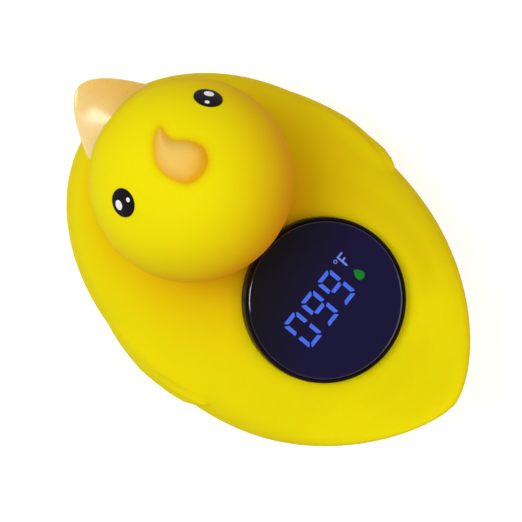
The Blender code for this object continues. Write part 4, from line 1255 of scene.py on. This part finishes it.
def grown(obj: Piece, tree: bpy.types.NodeTree, values: dict[str, float]) -> Piece:
    """Run a Geometry Nodes tree on an object and keep its result as the plain mesh.

    Args:
        obj: the object whose mesh the tree reads.
        tree: the Geometry Nodes tree.
        values: the tree's inputs by name.

    Returns:
        The object with the tree's result.
    """
    step = obj.modifiers.new("tree", "NODES")
    step.node_group = tree
    for item in tree.interface.items_tree:
        if item.item_type == "SOCKET" and item.in_out == "INPUT" and item.name in values:
            step[item.identifier] = values[item.name]
    return baked(obj)


@dataclass
class Display:
    """Dark window and the lit marks on it."""

    lens_overlap: float = 0.0003
    lens_edge: float = 0.0008
    lens_crown: float = 0.0002
    digit_height: float = 0.0093
    digit_width: float = 0.0050
    digit_pitch: float = 0.00662
    first_digit_y: float = 0.0092
    bar_width: float = 0.00102
    bar_gap: float = 0.00045
    middle_gap: float = 0.00045
    middle_length: float = 0.0033
    slant_share: float = 0.8
    blunt_share: float = 0.32
    mark_lift: float = 0.00003
    mark_height: float = 0.00004
    unit_place: tuple[float, float] = (0.00305, -0.01068)
    unit_size: tuple[float, float] = (0.0033, 0.0019)
    unit_stroke: float = 0.0005
    degree_place: tuple[float, float] = (0.0043, -0.0088)
    degree_radii: tuple[float, float] = (0.00052, 0.00030)
    drop_place: tuple[float, float] = (-0.0022, -0.0102)
    drop_size: tuple[float, float] = (0.0016, 0.00150)
    drop_point: float = 0.9

    def __post_init__(self) -> None:
        """Read the window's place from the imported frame."""
        low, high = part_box("display_lens")
        self.radius = high.x + self.lens_overlap
        self.bottom = low.z
        self.top = high.z - self.lens_crown

    def surface(self, radius: float) -> float:
        """Level of the window's face at a distance from its axis."""
        flat = self.radius - self.lens_edge
        return self.top + self.lens_crown * (1 - min(radius / flat, 1.0) ** 2)

    def window(self) -> Piece:
        """Crowned window with a rounded edge."""
        flat, steps = self.radius - self.lens_edge, 10
        profile = [(flat * step / steps, self.surface(flat * step / steps))
                   for step in range(steps)]
        for step in range(steps + 1):
            angle = math.pi / 2 * step / steps
            profile.append((flat + self.lens_edge * math.sin(angle),
                            self.top - self.lens_edge * (1 - math.cos(angle))))
        profile += [(self.radius, self.bottom), (0.0, self.bottom)]
        lens = smooth_shaded(revolved("window_glass", profile, steps=192), angle=40)
        return shown(lens, WINDOW_AND_PAINTED_LIGHT, "tinted_window", "display_lens")

    def digits(self) -> Piece:
        """Three seven-segment digits of lit bars."""
        tall = (self.digit_height - self.bar_width) / 2
        wide = (self.digit_width - self.bar_width) / 2
        top = self.digit_height / 2 - self.bar_gap
        upright = top - self.middle_gap
        places: dict[str, list] = {"level_bars": [], "upright_bars": [], "middle_bars": []}
        for number, bars in enumerate((NOUGHT, NINE, NINE)):
            centre = self.first_digit_y - self.digit_pitch * number
            for bar in bars:
                up, left, quarter = bar.value
                kind = "upright_bars" if left else "level_bars" if up else "middle_bars"
                along = math.copysign(top - upright / 2, up) if left else up * tall
                places[kind].append(((along, centre + left * wide, 0.0), quarter + 3,
                                     up * left * 2 if left else 1.0))
        tree = BarTree().build(DIGIT_BLUE)
        slant, blunt = self.bar_width * self.slant_share, self.bar_width * self.blunt_share
        level = self.digit_width - 2 * self.bar_gap
        shapes = ((level, slant, slant), (upright, blunt, slant),
                  (self.middle_length, blunt, blunt))
        return joined(*(self.bars(kind, rows, tree, *shape)
                        for (kind, rows), shape in zip(places.items(), shapes)))

    def bars(self, name: str, places: Sequence, tree: bpy.types.NodeTree, length: float,
             first_slant: float, second_slant: float) -> Piece:
        """Lit bars of one kind, grown on their places.

        Args:
            name: the object's name.
            places: place, quarter turns and mirroring sign of each bar.
            tree: the bars' Geometry Nodes tree.
            length: outer length of a bar.
            first_slant: how far the inner side falls short at one end.
            second_slant: the same at the other end.

        Returns:
            The object with the bars as a plain mesh.
        """
        points = object_of(name, [place for place, _, _ in places], [])
        for key, column in (("quarter", 1), ("flip", 2)):
            values = [float(row[column]) for row in places]
            points.data.attributes.new(key, "FLOAT", "POINT").data.foreach_set("value", values)
        return grown(points, tree, {"Bar Length": length, "Bar Width": self.bar_width,
                                    "First Slant": first_slant, "Second Slant": second_slant})

    def laid_on_window(self, obj: Piece) -> Piece:
        """Lift flat marks onto the window's crowned face."""
        for vertex in obj.data.vertices:
            face = self.surface(math.hypot(vertex.co.x, vertex.co.y))
            vertex.co.z += face + self.mark_lift
        return outward(obj)

    def flat_mark(self, name: str, outline: Sequence[tuple[float, float]]) -> Piece:
        """Thin plate from an outline in the display's plane, laid on the window."""
        bm = bmesh.new()
        face = bm.faces.new([bm.verts.new((x, y, 0.0)) for x, y in outline])
        moved = bmesh.ops.extrude_face_region(bm, geom=[face])["geom"]
        raised = [item for item in moved if isinstance(item, bmesh.types.BMVert)]
        bmesh.ops.translate(bm, vec=(0, 0, self.mark_height), verts=raised)
        return self.laid_on_window(from_bmesh(name, bm))

    def unit(self) -> Piece:
        """Degree ring and letter F."""
        (x, y), (tall, arm), stroke = self.unit_place, self.unit_size, self.unit_stroke
        left, right = y + arm / 2, y - arm / 2
        top, bottom = x + tall / 2, x - tall / 2
        mark = self.flat_mark("unit_mark", [
            (top, left), (bottom, left), (bottom, left - stroke), (x - stroke / 2, left - stroke),
            (x - stroke / 2, right + stroke), (x + stroke / 2, right + stroke),
            (x + stroke / 2, left - stroke), (top - stroke, left - stroke),
            (top - stroke, right), (top, right)])
        outer, inner = self.degree_radii
        ring = revolved("ring", [(outer, self.mark_height), (outer, 0.0), (inner, 0.0),
                                 (inner, self.mark_height)], steps=24, closed=True)
        ring.data.transform(Matrix.Translation((*self.degree_place, 0.0)))
        return joined(mark, self.laid_on_window(ring))

    def drop(self) -> Piece:
        """Green water drop with its tip toward the head."""
        (x, y), (half_length, half_width), steps = self.drop_place, self.drop_size, 40
        outline = []
        for step in range(steps):
            angle = math.tau * step / steps
            squeeze = math.sin(angle / 2) ** self.drop_point
            outline.append((x + half_length * math.cos(angle),
                            y + half_width * math.sin(angle) * squeeze))
        return self.flat_mark("drop_mark", outline)

    def build(self) -> None:
        """Make and dress the window and its marks."""
        self.window()
        for mark, finish in ((self.laid_on_window(self.digits()), DIGIT_BLUE),
                             (self.unit(), UNIT_BLUE), (self.drop(), DROP_GREEN)):
            shown(mark, finish, "tinted_window")


@dataclass
class Housing:
    """Upper half of the sealed module, whose top is the window's dark rim."""

    rise: float = 0.0004
    rim: float = 0.0007
    edge: float = 0.00035
    flare: float = 0.0006

    def build(self) -> Piece:
        """Make and dress the housing.

        Returns:
            The finished piece.
        """
        low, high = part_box("upper_housing")
        outer, top = RIM_RADIUS, high.z + self.rise
        groove, body, inner, bore, window = 0.0193, 0.0209, 0.0191, 0.0175, 0.0166
        lens_seat, lip_top, lip_under, shoulder, ceiling = 0.0389, 0.0379, 0.0348, 0.0342, 0.032
        quarter = [math.pi / 2 * step / 5 for step in range(6)]
        profile = [(outer - self.rim, top),
                   *((outer - self.edge * (1 - math.sin(angle)),
                      top - self.edge * (1 - math.cos(angle))) for angle in quarter),
                   (outer, lip_top), (groove, lip_top), (groove, lip_under),
                   (body - self.flare, lip_under), (body, shoulder), (body, low.z),
                   (inner, low.z), (inner, ceiling), (bore, ceiling), (bore, lip_top),
                   (window, lip_top), (window, lens_seat), (outer - self.rim, lens_seat)]
        housing = revolved("display_rim", profile, steps=192, closed=True)
        return shown(smooth_shaded(housing, angle=32), RIM, "housing_black", "upper_housing")


# Studio


@dataclass
class Studio:
    """Pale floor, soft lamps and the photograph's camera."""

    floor_half: float = 3.0
    floor_drop: float = 0.0002
    floor_greys: tuple[float, float] = (0.60, 0.64)
    floor_roughness: float = 0.9
    floor_glow: tuple[float, float] = (0.16, 0.62)
    horizon_level: float = 0.36
    zenith_level: float = 0.70
    overhead_level: float = 0.05
    mirrored_level: float = 0.30
    warm_white: Triple = (1.0, 0.96, 0.90)
    key_direction: Triple = (0.56, 0.38, 1.0)
    key_distance: float = 0.8
    key_power: float = 2.75
    key_size: float = 0.34
    fill_direction: Triple = (-0.9, -0.5, 0.8)
    fill_distance: float = 0.9
    fill_size: float = 0.5
    fill_power: float = 0.9
    middle: Triple = (0.02, 0.0, 0.035)
    lens_mm: float = 227.13
    camera_place: Triple = (0.167505, 0.080018, 0.830462)
    camera_axes: tuple[Triple, Triple, Triple] = (
        (-0.755376, 0.628880, 0.184165), (-0.623002, -0.776343, 0.095703),
        (0.203161, -0.042443, 0.978225))

    def floor(self) -> None:
        """White floor that keeps the object's shadow and shows white to the camera."""
        half = self.floor_half
        floor = object_of("studio_floor", [(x, y, 0) for x, y in (
            (-half, -half), (half, -half), (half, half), (-half, half))], [(0, 1, 2, 3)])
        floor.data.transform(Matrix.Translation((0, 0, -self.floor_drop)))
        material = bpy.data.materials.new("studio_floor")
        material.use_nodes = True
        sheet = NodeSheet(material.node_tree)
        shader = material.node_tree.nodes["Principled BSDF"]
        clouds = sheet.add("ShaderNodeTexNoise", {"Scale": 3.0})
        low, high = (opaque((grey,) * 3) for grey in self.floor_greys)
        sheet.fill(shader, {
            "Base Color": sheet.mix(clouds.outputs["Fac"], low, high),
            "Roughness": self.floor_roughness, "Emission Color": opaque(WHITE),
            "Emission Strength": sheet.spread(self.seen(sheet), 0, 1, *self.floor_glow)})
        from_below = sheet.add("ShaderNodeMixShader", {
            0: sheet.add("ShaderNodeNewGeometry").outputs["Backfacing"], 1: shader.outputs["BSDF"],
            2: sheet.add("ShaderNodeBsdfTransparent").outputs["BSDF"]})
        sheet.fill(material.node_tree.nodes["Material Output"], {"Surface": from_below.outputs[0]})
        floor.data.materials.append(material)

    @staticmethod
    def seen(sheet: NodeSheet) -> Socket:
        """One where a camera, glossy or transmission ray looks, else nought."""
        path = sheet.add("ShaderNodeLightPath")
        both = sheet.maths("MAXIMUM", path.outputs["Is Camera Ray"], path.outputs["Is Glossy Ray"])
        return sheet.maths("MAXIMUM", both, path.outputs["Is Transmission Ray"])

    def world(self) -> None:
        """Even surroundings: white where the camera sees them, lit at a plain level elsewhere."""
        world = bpy.data.worlds.new("studio_world")
        bpy.context.scene.world = world
        world.use_nodes = True
        sheet = NodeSheet(world.node_tree)
        path = sheet.add("ShaderNodeLightPath").outputs
        looking = sheet.add("ShaderNodeTexCoord").outputs["Generated"]
        up = sheet.add("ShaderNodeSeparateXYZ", {"Vector": looking}).outputs["Z"]
        mirrored = sheet.spread(up, 0.35, 0.9, self.mirrored_level, self.overhead_level)
        soft = sheet.spread(up, -0.1, 0.9, self.horizon_level, self.zenith_level)
        lit, level = (sheet.add("ShaderNodeMix", data_type="FLOAT") for _ in range(2))
        sheet.fill(lit, {0: path["Is Glossy Ray"], 2: soft, 3: mirrored})
        sheet.fill(level, {0: path["Is Camera Ray"], 2: lit.outputs[0], 3: 1.0})
        tint = sheet.mix(path["Is Camera Ray"], opaque(self.warm_white), opaque(WHITE))
        sheet.fill(world.node_tree.nodes["Background"], {"Color": tint,
                                                         "Strength": level.outputs[0]})

    def lamp(self, name: str, toward: Triple, distance: float, size: float,
             power: float) -> None:
        """Square soft lamp aimed at the duck.

        Args:
            name: the lamp's name.
            toward: direction from the duck toward the lamp.
            distance: from the duck's middle in metres.
            size: side length in metres.
            power: watts.
        """
        light = bpy.data.lights.new(name, "AREA")
        light.energy, light.size = power, size
        lamp = bpy.data.objects.new(name, light)
        direction = Vector(toward)
        lamp.location = Vector(self.middle) + direction.normalized() * distance
        lamp.rotation_euler = (-direction).to_track_quat("-Z", "Y").to_euler()
        bpy.context.scene.collection.objects.link(lamp)

    def camera(self) -> None:
        """Camera at the photograph's viewing angle."""
        data = bpy.data.cameras.new("camera")
        data.lens, data.sensor_width, data.sensor_fit = self.lens_mm, 36.0, "HORIZONTAL"
        data.clip_start, data.clip_end = 0.01, 20.0
        camera = bpy.data.objects.new("camera", data)
        camera.matrix_world = (Matrix.Translation(self.camera_place)
                               @ Matrix(self.camera_axes).to_4x4())
        bpy.context.scene.collection.objects.link(camera)
        bpy.context.scene.camera = camera

    def build(self) -> None:
        """Set up the whole studio."""
        bpy.context.scene.view_settings.view_transform = "Standard"
        self.camera()
        self.floor()
        self.world()
        self.lamp("key", self.key_direction, self.key_distance, self.key_size, self.key_power)
        self.lamp("fill", self.fill_direction, self.fill_distance, self.fill_size, self.fill_power)
        LOG.info("studio ready")


def dress_carried_over(nodes: dict[str, Piece]) -> None:
    """Give every CAD node that stays in view its own finish.

    Args:
        nodes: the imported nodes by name.
    """
    for name, finish in CARRIED_OVER.items():
        materials = nodes[name].data.materials
        material = finish.build()
        if not materials:
            materials.append(material)
        for number in range(len(materials)):
            materials[number] = material
        LOG.info("%s carried over", name)


def main() -> None:
    """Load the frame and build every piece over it."""
    logging.basicConfig(level=logging.INFO, format="%(name)s: %(message)s")
    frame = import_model()
    Studio().build()
    body = DuckBody()
    body.build()
    Bill().build()
    Tuft(body).build()
    for side in (1, -1):
        Eye(body, side).build()
    Housing().build()
    Display().build()
    dress_carried_over(frame["nodes"])


if __name__ == "__main__":
    main()
